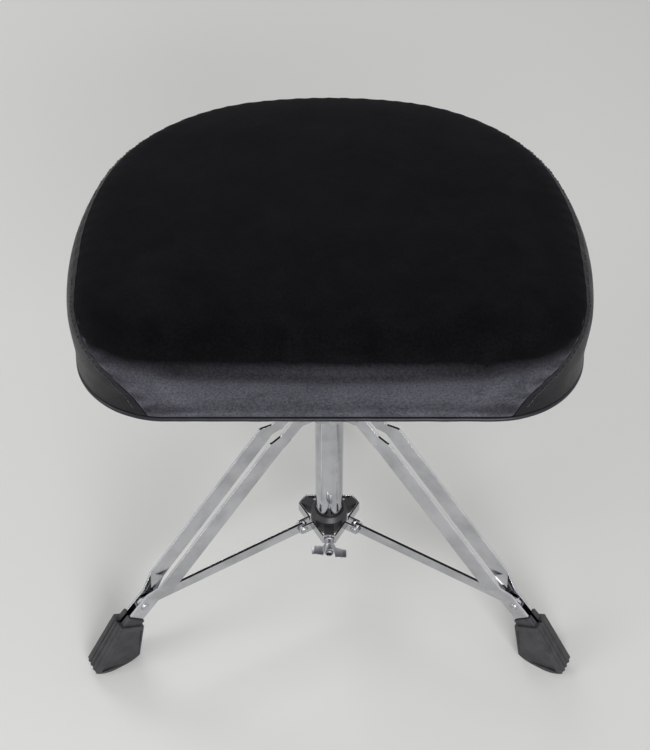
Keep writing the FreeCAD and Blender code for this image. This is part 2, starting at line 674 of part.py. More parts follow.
def strip_side_view():
    """Corners of a leg strip seen from the side: along the pivot line, and above it."""
    tab = tab_height / 2
    main = strip_height / 2
    toe = toe_height / 2
    neck = leg_length - foot_joggle_start
    heel = leg_length - foot_joggle_end
    tail = leg_length + strip_tail
    toe_middle = -strip_drop
    rise_start = hub_joggle_start + bend_run
    rise_end = hub_joggle_end + bend_run
    return [
        (0, -tab), (rise_start, tab_lift - tab), (rise_end, strip_rise - main),
        (neck, -strip_drop - main), (heel, toe_middle - toe), (tail, toe_middle - toe),
        (tail, toe_middle + toe), (heel, toe_middle + toe),
        (neck, main - strip_drop), (rise_end, strip_rise + main),
        (rise_start, tab + tab_lift), (0, tab, tab)]


def strip_plan_view(side):
    """Corners of a leg strip seen from above: along the pivot line, and across it."""
    neck = leg_length - foot_joggle_start
    heel = leg_length - foot_joggle_end
    tail = leg_length + strip_tail
    head = -tab_height / 2 - head_margin
    places = [(head, half_gap_hub), (hub_joggle_start, half_gap_hub),
              (hub_joggle_end, half_gap_leg), (neck, half_gap_leg),
              (heel, half_gap_foot), (tail, half_gap_foot)]
    inner = [(along, gap * side) for along, gap in places]
    outer = [(along, (gap + strip_thickness) * side) for along, gap in places]
    return inner + outer[::-1]


def make_strip(name, azimuth, side):
    """One joggled strip of a leg, with its two rivet holes."""
    strip = new_body(name)
    plan = Drawing(strip, name + "_plan").loop(strip_plan_view(side))
    pad(strip, plan, strip_height * 4, both=True)
    outline = Drawing(strip, name + "_outline", "XZ_Plane").loop(strip_side_view())
    margin = strip_height * 3
    outline.box(-margin, -margin, leg_length + strip_tail + margin, margin)
    pocket(strip, outline, half_gap_leg * 4, both=True)
    holes = Drawing(strip, name + "_holes", "XZ_Plane")
    holes.circle(0, 0, hub_rivet_radius + running)
    holes.circle(leg_length, 0, link_rivet_radius)
    pocket(strip, holes, half_gap_leg * 4, both=True)
    in_leg_plane(strip, azimuth, hub_pivot_radius, hub_pivot_height, leg_slope)
    return keep(strip)


def from_foot_rivet(along, over):
    """A place given along a leg's pivot line and over it, as (radius, height)."""
    outward = leg_run / leg_length
    downward = leg_fall / leg_length
    return (foot_pivot_radius + along * outward + over * downward,
            foot_pivot_height - along * downward + over * outward)


def sole_height(offset):
    """Height of the sole at a distance outward from the foot rivet."""
    side = 1 if offset.value > sole_offset.value else -1
    from_lowest = (offset - sole_offset) * side - sole_land / 2
    return sole_radius - root(sole_radius * sole_radius - from_lowest * from_lowest)


def make_foot(name, azimuth):
    """Rubber foot: a wedge with an arched sole, a neck and a pocket for both strips."""
    block = new_body(f"{name}_foot_block")
    toe = foot_pivot_radius + toe_offset
    heel = foot_pivot_radius + heel_offset
    back_corner = from_foot_rivet(boot_back_along, -boot_back_under)
    top_corner = from_foot_rivet(boot_top_along, boot_top_over)
    side = Drawing(block, f"{name}_foot_side", "XZ_Plane")
    lowest = foot_pivot_radius + sole_offset
    side.loop([back_corner, (heel, sole_height(heel_offset), sole_radius),
               (lowest - sole_land / 2, 0), (lowest + sole_land / 2, 0, sole_radius),
               (toe, sole_height(toe_offset)), top_corner])
    pad(block, side, boot_toe_width, both=True)
    taper = Drawing(block, f"{name}_foot_taper")
    start = back_corner[0] - boot_taper_reach
    for way in SIDES:
        wide = boot_toe_width / 2 * way
        narrow = boot_top_width / 2 * way
        past = wide + boot_taper_reach * way
        taper.loop([(start, narrow), (toe, wide), (toe, past), (start, past)])
    pocket(block, taper, top_corner[1] * 4, both=True)
    in_leg_plane(block, azimuth)
    room = toe_height / 2 + boot_pocket_gap
    room_half = half_gap_foot + strip_thickness + boot_pocket_gap
    neck_start = leg_length + boot_back_along - boot_neck_rise
    neck = new_body(f"{name}_foot_neck")
    outline = Drawing(neck, f"{name}_neck_side", "XZ_Plane")
    outline.box(neck_start, -strip_drop - room - boot_neck_wall,
                leg_length + strip_tail, room + boot_neck_wall - strip_drop)
    pad(neck, outline, (room_half + boot_neck_wall) * 2, both=True)
    in_leg_plane(neck, azimuth, hub_pivot_radius, hub_pivot_height, leg_slope)
    cavity = new_body(f"{name}_foot_cavity")
    walls = Drawing(cavity, f"{name}_cavity_side", "XZ_Plane")
    walls.box(leg_length, -strip_drop - room,
              leg_length + strip_tail + boot_pocket_gap, room - strip_drop)
    pad(cavity, walls, room_half * 2, both=True)
    in_leg_plane(cavity, azimuth, hub_pivot_radius, hub_pivot_height, leg_slope)
    slot = new_body(f"{name}_foot_slot")
    notch = Drawing(slot, f"{name}_slot_side", "XZ_Plane")
    notch.box(neck_start - boot_neck_rise, -strip_drop,
              leg_length + boot_slot_reach, boot_top_over * 2)
    pad(slot, notch, strut_thickness + boot_slot_gap * 2, both=True)
    in_leg_plane(slot, azimuth, hub_pivot_radius, hub_pivot_height, leg_slope)
    hollow = fused(f"{name}_foot_hollow", [cavity, slot])
    keep(cut(f"{name}_foot", fused(f"{name}_foot_solid", [block, neck]), hollow))


def make_foot_rivet(name, azimuth):
    """Two shouldered stubs, one per strip: the strut's open pivot turns between them."""
    outer = half_gap_foot + strip_thickness
    rim = rivet_head_height * 0.35
    crown = rivet_head_radius * 0.55
    stubs = []
    for side in SIDES:
        stub = turned(f"{name}_foot_stub_{'far' if side < 0 else 'near'}", [
            (0, spacer_face * side), (spacer_radius, spacer_face * side),
            (spacer_radius, half_gap_foot * side), (link_rivet_radius, half_gap_foot * side),
            (link_rivet_radius, outer * side), (rivet_head_radius, outer * side),
            (rivet_head_radius, (outer + rim) * side),
            (crown, (outer + rivet_head_height) * side),
            (0, (outer + rivet_head_height) * side)])
        stubs.append(stub)
    pair = doc.addObject("Part::Compound", f"{name}_foot_rivets")
    pair.Links = stubs
    in_leg_plane_across(pair, azimuth, foot_pivot_radius, foot_pivot_height)
    keep(pair)


def make_strut(name, azimuth):
    """Flat strut from the collar to the foot rivet."""
    strut = new_body(f"{name}_strut")
    half = strut_height / 2
    side = Drawing(strut, f"{name}_strut_side", "XZ_Plane")
    side.loop([(0, -half), (strut_length, -half, half), (strut_length, half), (0, half, half)])
    side.circle(0, 0, link_rivet_radius + running)
    side.circle(strut_length, 0, link_rivet_radius + running)
    pad(strut, side, strut_thickness, both=True)
    in_leg_plane(strut, azimuth, collar_pivot_radius, collar_height, strut_slope)
    keep(strut)


def make_legs():
    """Three double-braced legs with their feet, struts and rivets."""
    for name, azimuth in LEGS.items():
        for side in SIDES:
            hand = "near" if side > 0 else "far"
            make_strip(f"{name}_leg_{hand}_strip", azimuth, side)
        make_foot(name, azimuth)
        make_rivet(f"{name}_hub_rivet", azimuth, hub_pivot_radius, hub_pivot_height,
                   hub_rivet_radius, half_gap_hub + strip_thickness + seating)
        make_foot_rivet(name, azimuth)
        make_strut(name, azimuth)
        make_rivet(f"{name}_collar_rivet", azimuth, collar_pivot_radius, collar_height,
                   link_rivet_radius, ear_inner_face + collar_plate)


# ---------------------------------------------------------------- sliding collar

def make_collar():
    """Nylon bushing, three bent plates, strut spacers and the captive nut."""
    low = collar_height - collar_plate_height / 2
    bore = tube_radius + sliding
    body = turned("collar_bushing_core", [
        (bore, low), (bushing_radius, low),
        (bushing_radius, collar_height + bushing_shoulder),
        (bore + bushing_lip, collar_height + bushing_rise),
        (bore, collar_height + bushing_rise)])
    boss_end = collar_flat_distance - collar_plate / 2
    bosses = []
    for name, azimuth in PLATES.items():
        boss = new_body(f"{name}_collar_boss")
        plan = Drawing(boss, f"{name}_boss_plan")
        plan.box(bore + boss_root, -boss_half, boss_end, boss_half)
        pad(boss, plan, collar_plate_height - boss_inset * 2, start=low + boss_inset)
        place(boss, turns=((Z_AXIS, azimuth),))
        bosses.append(boss)
    whole = fused("collar_bushing_solid", [body] + bosses)
    nut_start = boss_end - nut_setback
    room = new_body("collar_nut_room")
    pad(room, Drawing(room, "nut_room_end").box(-nut_half, -nut_half, nut_half, nut_half),
        nut_thickness, start=nut_start)
    pad(room, Drawing(room, "nut_room_bore").circle(0, 0, screw_radius + screw_room),
        collar_flat_distance)
    place(room, (0, 0, collar_height), ((X_AXIS, 90),))
    keep(cut("collar_bushing", whole, room))
    nut = new_body("wing_bolt_nut")
    face = Drawing(nut, "nut_face").box(-nut_half, -nut_half, nut_half, nut_half)
    face.circle(0, 0, screw_radius + running)
    pad(nut, face, nut_thickness, start=nut_start)
    place(nut, (0, 0, collar_height), ((X_AXIS, 90),))
    keep(nut)
    for name, azimuth in PLATES.items():
        screw = (collar_height, screw_radius + plate_room) if name == "front" else None
        bent_plate(f"{name}_collar_plate", azimuth, collar_plate, collar_plate_height,
                   collar_height, (collar_flat_half, collar_flat_distance),
                   (collar_ear_start, collar_ear_end, collar_ear),
                   (collar_pivot_radius, link_rivet_radius), screw)
    spacers = []
    for name, azimuth in LEGS.items():
        for side in SIDES:
            low_face, high_face = sorted(
                (spacer_face * side, ear_inner_face * side), key=lambda item: item.value)
            spacer = turned(f"{name}_spacer_{'far' if side < 0 else 'near'}",
                            ring_section(link_rivet_radius, spacer_radius,
                                         low_face, high_face))
            in_leg_plane_across(spacer, azimuth, collar_pivot_radius, collar_height)
            spacers.append(spacer)
    group = doc.addObject("Part::Compound", "strut_spacers")
    group.Links = spacers
    keep(group)


def make_wing_bolt():
    """Screw that presses on the column, and its stamped wings."""
    front = collar_flat_distance + collar_plate / 2
    wing_start = front + wing_gap
    tip = tube_radius + seating
    screw = new_body("wing_bolt_screw")
    shank = Drawing(screw, "wing_shank").circle(0, 0, screw_radius)
    pad(screw, shank, wing_start + wing_length / 2 - tip, start=tip)
    place(screw, (0, 0, collar_height), ((X_AXIS, 90),))
    keep(screw)
    wings = new_body("wing_bolt_head")
    hub = Drawing(wings, "wing_hub").circle(0, 0, wing_hub_radius)
    hub.circle(0, 0, screw_radius)
    pad(wings, hub, wing_length, start=wing_start)
    half = wing_plate / 2
    for side in SIDES:
        end = Drawing(wings, f"wing_{'left' if side < 0 else 'right'}")
        low_x, high_x = sorted(
            ((screw_radius + wing_root) * side, wing_span * side), key=lambda item: item.value)
        end.box(low_x, -half, high_x, half)
        pad(wings, end, wing_length, start=wing_start + wing_length / 4)
    place(wings, (0, 0, collar_height), ((Z_AXIS, -wing_tilt.value), (X_AXIS, 90)))
    keep(wings)


# ---------------------------------------------------------------- spindle and bearing

def make_spindle():
    """Spindle, thrust washer, retaining washer and bolt."""
    bolt_low = journal_top - retaining_depth
    keep(turned("spindle", [
        (0, spindle_bottom), (spindle_radius - spindle_chamfer, spindle_bottom),
        (spindle_radius, spindle_bottom + spindle_chamfer),
        (spindle_radius, spindle_shoulder),
        (journal_radius, spindle_shoulder), (journal_radius, journal_top),
        (retaining_bolt, journal_top), (retaining_bolt, bolt_low), (0, bolt_low)]))
    keep(turned("thrust_washer", ring_section(
        journal_radius, socket_radius - socket_wall - washer_room,
        spindle_shoulder, spindle_shoulder + washer_thickness)))
    keep(turned("retaining_washer", ring_section(
        retaining_bolt, retaining_radius, journal_top, journal_top + washer_thickness)))
    bolt = new_body("retaining_bolt")
    shank = Drawing(bolt, "retaining_shank").circle(0, 0, retaining_bolt)
    pad(bolt, shank, retaining_depth + washer_thickness, start=bolt_low)
    head = Drawing(bolt, "retaining_hex").loop(hexagon(retaining_flats))
    pad(bolt, head, retaining_head, start=journal_top + washer_thickness)
    keep(bolt)


def make_lock_ring():
    """Lock ring over the spindle nut, with its lever."""
    low = tube_top + nut_flange + seating
    ring = turned("lock_ring", ring_section(
        spindle_radius + running * 2, lock_ring_radius, low, low + lock_ring_height))
    lever_height = low + lock_ring_height / 2
    lever = turned("lock_lever", [
        (0, lock_ring_radius), (lock_lever_radius, lock_ring_radius),
        (lock_lever_radius, lock_ring_radius + lock_lever_length),
        (0, lock_ring_radius + lock_lever_length)])
    place(lever, (0, 0, lever_height), ((Y_AXIS, 90), (Z_AXIS, lock_lever_turn.value)))
    keep(ring)
    keep(lever)


def make_seat_bracket():
    """Bearing sleeve, and the bracket: socket, plate and four ribs as one weldment."""
    bore = socket_radius - socket_wall
    low = spindle_shoulder - socket_hang
    bearing_low = spindle_shoulder + washer_thickness + seating
    keep(turned("seat_bearing", ring_section(
        journal_radius + running, bore, bearing_low, journal_top - seating)))
    plate_low = seat_bottom - bracket_plate
    socket = turned("bracket_socket", ring_section(bore, socket_radius, low, plate_low))
    plate = new_body("bracket_plate_body")
    face = Drawing(plate, "bracket_face")
    face.box(-bracket_half, -bracket_half, bracket_half, bracket_half)
    for x_way in SIDES:
        for y_way in SIDES:
            face.circle(seat_bolt_half * x_way, seat_bolt_half * y_way, seat_bolt_radius)
    pad(plate, face, bracket_plate, start=plate_low)
    ribs = []
    for quarter in range(4):
        rib = new_body(f"bracket_rib_{quarter + 1}")
        side = Drawing(rib, f"rib_side_{quarter + 1}", "XZ_Plane")
        near = bore + socket_wall / 2
        side.loop([(near, plate_low - bracket_rib_drop),
                   (socket_radius + rib_root, plate_low - bracket_rib_drop),
                   (bracket_rib_reach, plate_low - bracket_rib_toe),
                   (bracket_rib_reach, plate_low + rib_root), (near, plate_low + rib_root)])
        pad(rib, side, bracket_rib, both=True)
        place(rib, turns=((Z_AXIS, 90 * quarter),))
        ribs.append(rib)
    keep(fused("seat_bracket", [socket, plate] + ribs))


# ---------------------------------------------------------------- seat

def seat_outline(inset):
    """Corners of the seat's outline of tangent arcs, moved in by inset."""
    side = side_arc - inset
    touch_front_x = side_x + (front_x - side_x) / front_reach * side
    touch_front_y = seat_widest + (front_y - seat_widest) / front_reach * side
    touch_side_x = side_x + (corner_x - side_x) / side_reach * side
    touch_side_y = seat_widest + (corner_y - seat_widest) / side_reach * side
    back = back_arc - inset
    touch_back_x = corner_x / back_reach * back
    touch_back_y = back_y + (corner_y - back_y) / back_reach * back
    front = inset - seat_front
    corner = corner_arc - inset
    return [
        (-front_x, front), (front_x, front, front_arc - inset),
        (touch_front_x, touch_front_y, side), (touch_side_x, touch_side_y, corner),
        (touch_back_x, touch_back_y, back), (-touch_back_x, touch_back_y, corner),
        (-touch_side_x, touch_side_y, side),
        (-touch_front_x, touch_front_y, front_arc - inset)]


def seat_form(name, inset, low, high, rounding):
    """A pad of the seat's outline whose upper edge is rounded."""
    form = new_body(name)
    drawing = Drawing(form, name + "_plan").loop(seat_outline(inset))
    slab = pad(form, drawing, high - low, start=low)
    doc.recompute()
    top = [f"Edge{number + 1}" for number, edge in enumerate(slab.Shape.Edges)
           if all(abs(vertex.Z - high.value) < 0.01 for vertex in edge.Vertexes)]
    round_over = form.newObject("PartDesign::Fillet", name + "_shoulder")
    round_over.Base = (slab, top)
    round_over.setExpression("Radius", rounding.text)
    return form


def make_seat():
    """Board with its inserts and bolts, foam, cover panels, piping and dust cover."""
    skin = cover_thickness
    outer = seat_form("cover_outside", as_size(0), seat_bottom, seat_top, shoulder)
    inner = seat_form("cover_inside", skin, seat_bottom, seat_top - skin, shoulder - skin)
    top_prism = new_body("top_panel_prism")
    top_plan = Drawing(top_prism, "top_panel_plan").loop(seat_outline(seam_inset))
    pad(top_prism, top_plan, seat_top - board_top, start=board_top + seam_margin)
    front_prism = new_body("front_panel_prism")
    elevation = Drawing(front_prism, "front_panel_view", "XZ_Plane")
    floor_line = seat_bottom - seam_margin
    ceiling = seat_top + seam_margin
    elevation.loop([
        (-seam_foot_half, floor_line), (seam_foot_half, floor_line),
        (seam_foot_half, seat_bottom), (seam_knee_half, seam_knee_height),
        (seam_knee_half, ceiling), (-seam_knee_half, ceiling),
        (-seam_knee_half, seam_knee_height), (-seam_foot_half, seat_bottom)])
    pad(front_prism, elevation, seam_front_depth + seam_margin,
        start=seat_front - seam_front_depth)
    top_prism = fused("velour_form", [top_prism, front_prism])
    shell = cut("cover_shell", outer, inner)
    keep(common("velour_top", shell, top_prism))
    shell_copy = cut("cover_shell_sides", outer, inner)
    keep(cut("vinyl_band", shell_copy, top_prism))
    foam = seat_form("seat_foam", skin + board_gap, board_top, seat_top - skin - board_gap,
                     shoulder - skin - board_gap)
    keep(foam)
    make_board(skin)
    make_underside()


def bolt_places():
    """The four seat bolts."""
    return [(seat_bolt_half * x_way, seat_bolt_half * y_way)
            for x_way in SIDES for y_way in SIDES]


def make_board(skin):
    """Plywood board, its four threaded inserts and the four bolts from below."""
    board = new_body("seat_board")
    plan = Drawing(board, "board_plan").loop(seat_outline(skin + board_gap))
    for x, y in bolt_places():
        plan.circle(x, y, insert_radius)
    pad(board, plan, board_thickness, start=seat_bottom)
    sinks = Drawing(board, "insert_sinks")
    for x, y in bolt_places():
        sinks.circle(x, y, insert_flange_radius)
    pocket(board, sinks, insert_flange, start=board_top)
    keep(board)
    inserts, bolts = [], []
    for number, (x, y) in enumerate(bolt_places(), 1):
        insert = turned(f"insert_{number}", [
            (seat_bolt_radius, seat_bottom), (insert_radius, seat_bottom),
            (insert_radius, board_top - insert_flange),
            (insert_flange_radius, board_top - insert_flange),
            (insert_flange_radius, board_top), (seat_bolt_radius, board_top)])
        place(insert, (x, y, 0))
        inserts.append(insert)
        bolt = new_body(f"seat_bolt_{number}")
        plate_low = seat_bottom - bracket_plate
        shank = Drawing(bolt, f"seat_shank_{number}").circle(0, 0, seat_bolt_radius)
        reach = bracket_plate + board_thickness - seat_bolt_short
        pad(bolt, shank, reach, start=plate_low)
        head = Drawing(bolt, f"seat_hex_{number}").loop(hexagon(seat_bolt_flats))
        pad(bolt, head, seat_bolt_head, start=plate_low - seat_bolt_head)
        place(bolt, (x, y, 0))
        bolts.append(bolt)
    for name, things in (("board_inserts", inserts), ("seat_bolts", bolts)):
        group = doc.addObject("Part::Compound", name)
        group.Links = things
        keep(group)


def make_underside():
    """Turned-under hem, dust cover and the piping along the lower edge."""
    hem_low = seat_bottom - hem_thickness
    hem = new_body("cover_hem")
    hem_plan = Drawing(hem, "hem_plan").loop(seat_outline(as_size(0)))
    hem_plan.loop(seat_outline(hem_width))
    pad(hem, hem_plan, hem_thickness, start=hem_low)
    keep(hem)
    dust = new_body("dust_cover")
    dust_plan = Drawing(dust, "dust_plan").loop(seat_outline(hem_width + board_gap))
    dust_plan.box(-dust_window, -dust_window, dust_window, dust_window)
    pad(dust, dust_plan, hem_thickness, start=hem_low)
    keep(dust)
    welt_height = hem_low - welt_radius
    route = Part.Wire(Part.__sortEdges__(outline_edges(welt_inset, welt_height)))
    start = route.OrderedVertexes[0].Point
    section = Part.Wire([Part.makeCircle(welt_radius.value, start, route.OrderedEdges[0]
                                         .tangentAt(route.OrderedEdges[0].FirstParameter))])
    welt = doc.addObject("Part::Feature", "edge_welt")
    welt.Shape = route.makePipeShell([section], True, False)
    keep(welt)


def outline_edges(inset, height):
    """Edges of the seat's outline at a height, lines and tangent arcs."""
    corners = seat_outline(inset)
    edges = []
    for step, corner in enumerate(corners):
        after = corners[(step + 1) % len(corners)]
        start = FreeCAD.Vector(corner[0].value, corner[1].value, 0)
        end = FreeCAD.Vector(after[0].value, after[1].value, 0)
        if len(corner) == 2:
            piece = Part.LineSegment(start, end)
        else:
            piece = Drawing.arc(start, end, corner[2].value)
        edge = piece.toShape()
        edge.translate(FreeCAD.Vector(0, 0, height.value))
        edges.append(edge)
    return edges


# ---------------------------------------------------------------- build and export

make_column()
make_hub()
make_legs()
make_collar()
make_wing_bolt()
make_spindle()
make_lock_ring()
make_seat_bracket()
make_seat()
doc.recompute()

for item in doc.Objects:
    if "Invalid" in item.State or "Error" in item.State:
        raise RuntimeError(f"{item.Name} is {item.State}")
for item in subparts:
    if item.Shape.isNull() or not item.Shape.isValid() or not item.Shape.Solids:
        raise RuntimeError(f"{item.Label} has no valid solid")

os.makedirs("parts", exist_ok=True)
for item in subparts:
    item.Shape.exportStep(f"parts/{item.Label}.step")
    print(f"{item.Label}: {len(item.Shape.Solids)} solid(s), {item.Shape.Volume:.0f} mm3")
print(f"leg {leg_length.value:.3f} at {leg_slope:.4f}, strut {strut_length.value:.3f} "
      f"at {strut_slope:.4f}")
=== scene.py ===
"""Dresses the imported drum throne: soft seat, chrome tripod, rubber feet, threaded spindle.

Everything is in metres in the row's frame: +Z up, the column on the Z axis, the sitter
facing -Y, and the feet on the floor at z = 0.
"""

import json
import logging
import math
from dataclasses import dataclass
from enum import Enum

import bmesh
import bpy
from mathutils import Matrix, Vector, noise
from mathutils.bvhtree import BVHTree
from mathutils.geometry import delaunay_2d_cdt
from mathutils.kdtree import KDTree

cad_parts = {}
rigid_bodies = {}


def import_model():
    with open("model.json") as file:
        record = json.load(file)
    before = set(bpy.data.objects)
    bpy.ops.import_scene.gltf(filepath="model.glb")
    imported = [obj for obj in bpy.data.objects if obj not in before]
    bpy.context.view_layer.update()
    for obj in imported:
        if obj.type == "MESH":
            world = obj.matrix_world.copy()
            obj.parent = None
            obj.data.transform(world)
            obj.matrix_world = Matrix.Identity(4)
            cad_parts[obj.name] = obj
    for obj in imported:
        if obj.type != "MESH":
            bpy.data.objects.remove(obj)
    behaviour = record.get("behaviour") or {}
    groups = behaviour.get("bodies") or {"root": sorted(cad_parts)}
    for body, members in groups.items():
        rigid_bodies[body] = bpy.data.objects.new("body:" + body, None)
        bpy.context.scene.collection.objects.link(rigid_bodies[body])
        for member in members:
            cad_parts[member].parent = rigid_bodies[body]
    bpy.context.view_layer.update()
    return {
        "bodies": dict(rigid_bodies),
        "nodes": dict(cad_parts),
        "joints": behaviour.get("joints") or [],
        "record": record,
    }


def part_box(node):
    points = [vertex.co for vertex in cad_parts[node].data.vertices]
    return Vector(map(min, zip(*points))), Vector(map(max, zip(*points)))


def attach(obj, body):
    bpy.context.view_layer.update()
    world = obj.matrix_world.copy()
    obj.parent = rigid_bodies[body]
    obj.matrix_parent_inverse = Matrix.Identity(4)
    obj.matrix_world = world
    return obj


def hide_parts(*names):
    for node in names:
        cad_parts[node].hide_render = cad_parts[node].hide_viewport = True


log = logging.getLogger("drum_throne")

MM = 0.001
AXIS_GAP = 0.05 * MM


# ------------------------------------------------------------------ colours and nodes

def linear(code: str) -> tuple[float, float, float, float]:
    """Turn an sRGB hex code into linear colour.

    Args:
        code: Six hex digits.

    Returns:
        Linear red, green, blue and an alpha of 1.
    """
    channels = [int(code[start:start + 2], 16) / 255 for start in (0, 2, 4)]
    low_limit = 0.04045
    curve = [c / 12.92 if c <= low_limit else ((c + 0.055) / 1.055) ** 2.4 for c in channels]
    return (*curve, 1.0)


def add_node(tree: bpy.types.NodeTree, kind: str, links: dict | None = None,
             **settings: object) -> bpy.types.Node:
    """Add a node with its settings and its incoming links.

    Args:
        tree: The node tree.
        kind: The node's type, such as ShaderNodeTexNoise.
        links: Input name or index to the output socket that feeds it.
        settings: Node properties, or input values where the name is an input's, with
            underscores for spaces.

    Returns:
        The new node.
    """
    node = tree.nodes.new(kind)
    for name, value in settings.items():
        if hasattr(node, name):
            setattr(node, name, value)
        else:
            node.inputs[name.replace("_", " ")].default_value = value
    for name, socket in (links or {}).items():
        tree.links.new(socket, node.inputs[name])
    return node


def ramp(tree: bpy.types.NodeTree, source: bpy.types.NodeSocket,
         stops: list[tuple[float, tuple]]) -> bpy.types.NodeSocket:
    """Map a value through colour stops.

    Args:
        tree: The node tree.
        source: The value.
        stops: Position and linear colour of each stop, from low to high.

    Returns:
        The colour output.
    """
    node = add_node(tree, "ShaderNodeValToRGB", {"Fac": source})
    elements = node.color_ramp.elements
    for index, (position, colour) in enumerate(stops):
        element = elements[index] if index < 2 else elements.new(position)
        element.position = position
        element.color = colour
    return node.outputs["Color"]


def grey(value: float) -> tuple[float, float, float, float]:
    """A neutral ramp stop.

    Args:
        value: Its linear brightness.

    Returns:
        The colour, with an alpha of 1.
    """
    return (value, value, value, 1.0)


def start_material(name: str, **inputs: object) -> tuple[
        bpy.types.Material, bpy.types.NodeTree, bpy.types.Node, bpy.types.NodeSocket]:
    """Start a material.

    Args:
        name: The material's name.
        inputs: Constants for the shader's inputs, with underscores for spaces.

    Returns:
        The material, its tree, its principled shader and the object coordinates in metres.
    """
    material = bpy.data.materials.new(name)
    material.use_nodes = True
    tree = material.node_tree
    shader = tree.nodes["Principled BSDF"]
    for socket, value in inputs.items():
        shader.inputs[socket.replace("_", " ")].default_value = value
    place = add_node(tree, "ShaderNodeTexCoord")
    return material, tree, shader, place.outputs["Object"]


def noise_field(tree: bpy.types.NodeTree, place: bpy.types.NodeSocket, size_mm: float,
                **settings: float) -> bpy.types.Node:
    """Add noise with features of a given size.

    Args:
        tree: The node tree.
        place: Object coordinates in metres.
        size_mm: The features' size.
        settings: Further inputs of the node.

    Returns:
        The noise node.
    """
    return add_node(tree, "ShaderNodeTexNoise", {"Vector": place},
                    Scale=1 / (size_mm * MM), **settings)


def tint(tree: bpy.types.NodeTree, shader: bpy.types.Node, source: bpy.types.NodeSocket,
         low: tuple[float, str], high: tuple[float, str]) -> None:
    """Colour a shader by a value.

    Args:
        tree: The node tree.
        shader: The principled shader.
        source: The value.
        low: Position and sRGB hex code of the first stop.
        high: Position and sRGB hex code of the last stop.
    """
    colour = ramp(tree, source, [(position, linear(code)) for position, code in (low, high)])
    tree.links.new(colour, shader.inputs["Base Color"])


def bump(tree: bpy.types.NodeTree, shader: bpy.types.Node,
         layers: list[tuple[bpy.types.NodeSocket, float]], edge: float = 0.0) -> None:
    """Stack bump layers on a shader, over rounded edges where edge is given.

    Args:
        tree: The node tree.
        shader: The principled shader.
        layers: Height output and depth in metres of each layer.
        edge: Radius in metres that the shading rounds sharp edges to.
    """
    below = None
    if edge:
        below = add_node(tree, "ShaderNodeBevel", samples=6, Radius=edge).outputs["Normal"]
    for height, depth in layers:
        links = {"Height": height}
        if below is not None:
            links["Normal"] = below
        below = add_node(tree, "ShaderNodeBump", links, Strength=1.0,
                         Distance=depth).outputs["Normal"]
    if below is not None:
        tree.links.new(below, shader.inputs["Normal"])


# ------------------------------------------------------------------ finishes

@dataclass(frozen=True)
class PlatedSteel:
    """Steel under a bright plating: a mirror with faint polishing waves and handling marks."""

    name: str
    colour: str
    stain: str
    roughness: float
    roughness_worn: float
    wave_mm: float = 30.0
    wave_depth_mm: float = 0.012
    grain_mm: float = 1.2
    grain_depth_mm: float = 0.0008
    edge_mm: float = 0.35

    def build(self) -> bpy.types.Material:
        """Make the plated steel."""
        material, tree, shader, place = start_material(self.name, Metallic=1.0)
        haze = noise_field(tree, place, self.wave_mm, Detail=5.0, Roughness=0.6)
        tint(tree, shader, haze.outputs["Fac"], (0.35, self.stain), (0.6, self.colour))
        rough = ramp(tree, haze.outputs["Fac"],
                     [(0.3, grey(self.roughness_worn)), (0.62, grey(self.roughness))])
        tree.links.new(rough, shader.inputs["Roughness"])
        grain = noise_field(tree, place, self.grain_mm, Detail=3.0)
        bump(tree, shader, [(haze.outputs["Fac"], self.wave_depth_mm * MM),
                            (grain.outputs["Fac"], self.grain_depth_mm * MM)],
             self.edge_mm * MM)
        return material


@dataclass(frozen=True)
class MouldedRubber:
    """Black vulcanised rubber from a mould: matt, slightly dusty, finely pitted."""

    name: str = "vulcanised_rubber"
    colour: str = "242427"
    dust: str = "3C3C3F"
    roughness: float = 0.5
    pit_mm: float = 0.9
    pit_depth_mm: float = 0.05
    patch_mm: float = 14.0

    def build(self) -> bpy.types.Material:
        """Make the rubber."""
        material, tree, shader, place = start_material(self.name, IOR=1.52,
                                                       Roughness=self.roughness)
        patch = noise_field(tree, place, self.patch_mm, Detail=6.0, Roughness=0.65)
        tint(tree, shader, patch.outputs["Fac"], (0.38, self.colour), (0.72, self.dust))
        pit = noise_field(tree, place, self.pit_mm, Detail=4.0)
        bump(tree, shader, [(pit.outputs["Fac"], self.pit_depth_mm * MM)], 0.4 * MM)
        return material


